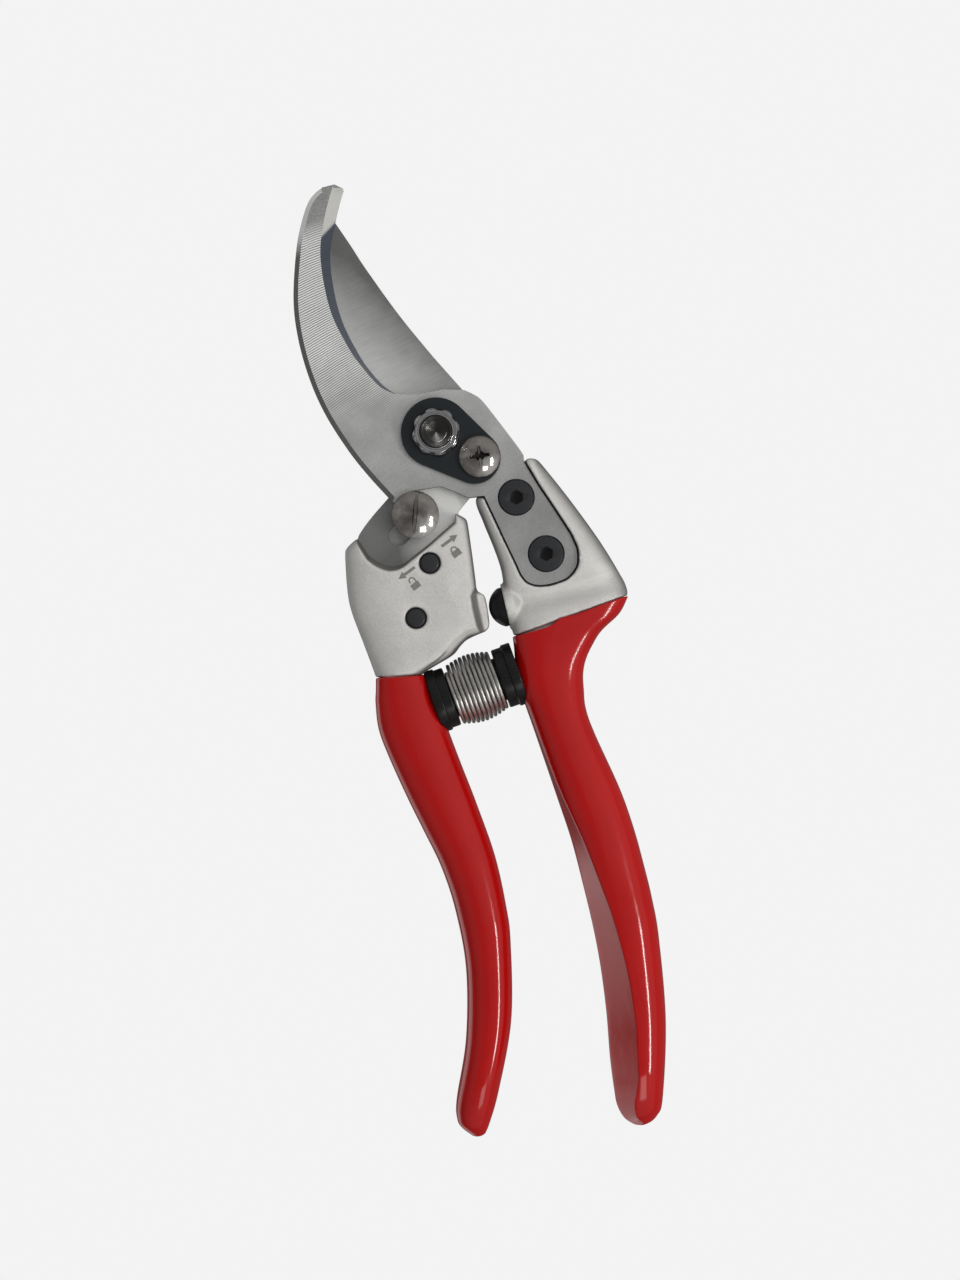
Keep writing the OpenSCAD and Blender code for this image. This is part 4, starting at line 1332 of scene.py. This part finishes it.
def lock_slide_plate():
    """Thin oblong plate behind the blade, which covers the slot."""
    low, high = levels("lock_slide_plate")
    far = STUD_AT + 4.7 * LOCK_DIR
    obj = prism("lock_slide_plate_piece", teardrop(STUD_AT, 4.4, far, 3.0), low, high)
    cut(obj, rod(STUD_AT, SHANK_R, low - 1, high + 1))
    bevelled(obj, 0.06)
    place(obj, "lock_catch", "spring_wire", "lock_slide_plate", even=True, material=ZINC_PLATE)


def lock_button():
    """Thumb button at the back: a dished, milled disc with grooves across its face."""
    low, high = levels("lock_slider")
    r = half_width("lock_slider")
    teeth, tooth = 36, 0.09

    def milled(ring_r, angles):
        return ring_r - (ring_r > r - 0.05) * tooth * (0.5 + 0.5 * np.cos(teeth * angles))

    profile = [
        (0, low + 0.25), (r - 1.2, low + 0.1), *arc((r - 0.45, low + 0.45), 0.45, -90, 0, 6),
        (r, high - 0.3), (r - 0.3, high), (0, high),
    ]
    obj = lathe("lock_thumb_button", profile, 216, radius=milled)
    pitch, half, reach, depth = 1.5, 0.25, 6, 0.45
    for i in range(-2, 3):
        left, right = i * pitch - half, i * pitch + half
        groove = [(left, -reach), (right, -reach), (right, reach), (left, reach)]
        bar = prism("groove", groove, low - 1, low + depth)
        cut(obj, moved(bar, spin=math.atan2(LOCK_DIR[1], LOCK_DIR[0])))
    bevelled(obj, 0.06, 40, 2)
    moved(obj, (*STUD_AT, 0))
    place(obj, "lock_catch", "black_oxide_steel", "lock_slider")


def etched_mark(name, shapes, at, spin):
    """Etched mark on the casting, made of outlines, turned by spin and set at a point."""
    c, sn = math.cos(spin), math.sin(spin)
    turn = np.array([[c, sn], [-sn, c]])
    parts = [
        prism(name, np.array(shape) @ turn + at, CAST_FRONT - 0.25, CAST_FRONT + 0.015)
        for shape in shapes
    ]
    obj = cut(parts[0], *parts[1:], operation="UNION") if len(parts) > 1 else parts[0]
    place(obj, "blade_side", "cast_aluminium", material=ETCHED)


def arrow(length):
    """Outline of an arrow from the origin along +X."""
    head, wide, shaft = 1.5, 0.8, 0.3
    return [
        (0, -shaft), (length - head, -shaft), (length - head, -wide), (length, 0),
        (length - head, wide), (length - head, shaft), (0, shaft),
    ]


def padlock(lift):
    """Outlines of a padlock's body and shackle. lift opens the shackle."""
    body = [(-0.95, -0.75), (0.95, -0.75), (0.95, 0.55), (-0.95, 0.55)]
    outer, inner = 0.72, 0.42
    foot = 0.45
    left_end = foot + (0.45 if lift else 0)
    top = 0.75 + lift
    over = np.linspace(0, math.pi, 13)
    shackle = [(outer, foot)]
    shackle += [(outer * math.cos(t), top + outer * math.sin(t)) for t in over]
    shackle += [(-outer, left_end), (-inner, left_end)]
    shackle += [(inner * math.cos(t), top + inner * math.sin(t)) for t in over[::-1]]
    shackle += [(inner, foot)]
    return [body, shackle]


def lock_marks():
    """Arrows for which way the catch locks and opens, each with a padlock below it."""
    spin = math.radians(23.4)
    etched_mark("arrow_locked", [arrow(4.0)], (-4.2, -22.7), spin)
    etched_mark("padlock_shut", padlock(0), (-1.6, -24.6), spin)
    etched_mark("arrow_open", [arrow(4.1)], (-10.4, -25.5), spin + math.pi)
    etched_mark("padlock_open", padlock(0.45), (-11.1, -29.1), spin)


# ---- Stage ----

BACKDROP = 0.896


def backdrop_material():
    """Evenly lit pale paper, which shows nothing from below."""
    material = bpy.data.materials.new("pale_floor")
    material.use_nodes = True
    f = Nodes(material.node_tree)
    glow = f.signal("Emission", [(BACKDROP,) * 3])
    clear = f.signal("BsdfTransparent")
    below = f.signal("NewGeometry", output="Backfacing")
    surface = f.tree.nodes["Material Output"].inputs["Surface"]
    f.link(f.signal("MixShader", (below, glow, clear)), surface)
    return material


def floor():
    half = 3000
    low = CAD_BOX[0][2] / MM - 0.2
    corners = [(x * half * MM, y * half * MM, low * MM) for x, y in ((-1, -1), (1, -1), (1, 1), (-1, 1))]
    mesh = bpy.data.meshes.new("floor")
    mesh.from_pydata(corners, [], [(0, 1, 2, 3)])
    mesh.materials.append(backdrop_material())
    obj = linked("floor", mesh)
    obj.visible_glossy = False


def softbox(name, direction, distance, size, radiance, colour=(1, 1, 1)):
    """Rectangular light that faces the object, its second side along the shears."""
    lamp = bpy.data.lights.new(name, "AREA")
    lamp.shape = "RECTANGLE"
    lamp.size, lamp.size_y = size[0] * MM, size[1] * MM
    lamp.energy = radiance * math.pi * lamp.size * lamp.size_y
    lamp.color = colour
    obj = linked(name, lamp)
    way = Vector(direction).normalized()
    obj.location = (Vector(OBJECT_MIDDLE) + way * distance) * MM
    side = Vector((0, 1, 0)).cross(way).normalized()
    obj.rotation_euler = Matrix((side, way.cross(side), way)).transposed().to_euler()
    return obj


def world():
    """Studio surround: dark below, brightest half-way up, with a pale table low on the left."""
    studio = bpy.data.worlds.new("studio")
    bpy.context.scene.world = studio
    studio.use_nodes = True
    studio.node_tree.nodes.clear()
    w = Nodes(studio.node_tree)
    sideways, _, up = w.parts(w.signal("TexCoord", output="Generated"))

    # Grey by height, from straight down (0) to straight up (1)
    stops = [(0, 0.1), (0.5, 0.14), (0.575, 0.34), (0.8, 0.42), (0.925, 0.28), (0.985, 0.2), (1, 0.18)]
    ramp = w.add("ValToRGB", [up.remap(-1, 1)])
    elements = ramp.color_ramp.elements
    while len(elements) < len(stops):
        elements.new(0.5)
    for element, (where, grey) in zip(elements, stops):
        element.position = where
        element.color = (grey, grey, grey, 1)

    room = Signal(w, ramp.outputs[0]) * sideways.remap(-1, 1, 0.6, 1.25)
    table = up.remap(-0.86, -0.78) * up.remap(-0.5, -0.4, 0.75, 0)
    table = table * sideways.remap(-0.35, -0.2, 1, 0)
    surround = w.signal("Background", ((1, 1, 1), room + table))
    seen = w.signal("Background", [(BACKDROP,) * 3])
    camera_ray = w.signal("LightPath", output="Is Camera Ray")
    w.add("OutputWorld", {"Surface": w.signal("MixShader", (camera_ray, surround, seen))})


def lights():
    """A strip for the grips' long highlights, soft light from above, and glints on the domes."""
    warm = (1, 0.99, 0.97)
    softbox("key_strip", (0.666, -0.4, 0.63), 795, (55, 330), 30, warm)
    overhead = softbox("overhead", (0.3, 0.1, 1), 900, (700, 700), 2.5)
    overhead.visible_glossy = False
    glint = softbox("glint", (0.19, -0.72, 0.67), 600, (190, 190), 2.2, warm)
    glint.visible_diffuse = False


def camera():
    """Looks straight down at the front, turned so that the shears lean to the left."""
    field, distance, framed_z = 260.2, 560.0, 8.8
    sensor = 36
    data = bpy.data.cameras.new("camera")
    data.sensor_width = sensor
    data.lens = sensor * distance / field
    data.clip_start, data.clip_end = 0.01, 20
    obj = linked("camera", data)
    centre = OBJECT_MIDDLE + np.array([-2.3, 3.6, 0])
    obj.location = (centre[0] * MM, centre[1] * MM, (framed_z + distance) * MM)
    obj.rotation_euler = (0, 0, math.radians(-13.2))
    bpy.context.scene.camera = obj


# ---- The whole ----

bpy.context.scene.view_settings.view_transform = "Standard"
camera()
lights()
world()
floor()

hook_plate()
bypass_blade()
hook_casting()
blade_casting()
dipped_grip("hook_grip_dipped", "hook_side", "hook_grip", hook_grip)
dipped_grip("blade_grip_dipped", "blade_side", "blade_grip", blade_grip)
pivot_bolt()
thrust_washer()
pivot_nut()
nut_lock_plate()
nut_lock_screw()
handle_screws()
lock_stud()
lock_slide_plate()
lock_button()
lock_marks()
spring_cup("spring_cup_blade", "blade_side", "spring_cup_blade_side", -1, 3.9)
spring_cup("spring_cup_hook", "hook_side", "spring_cup_hook_side", 1, 4.1)
coil_spring()
bumper()
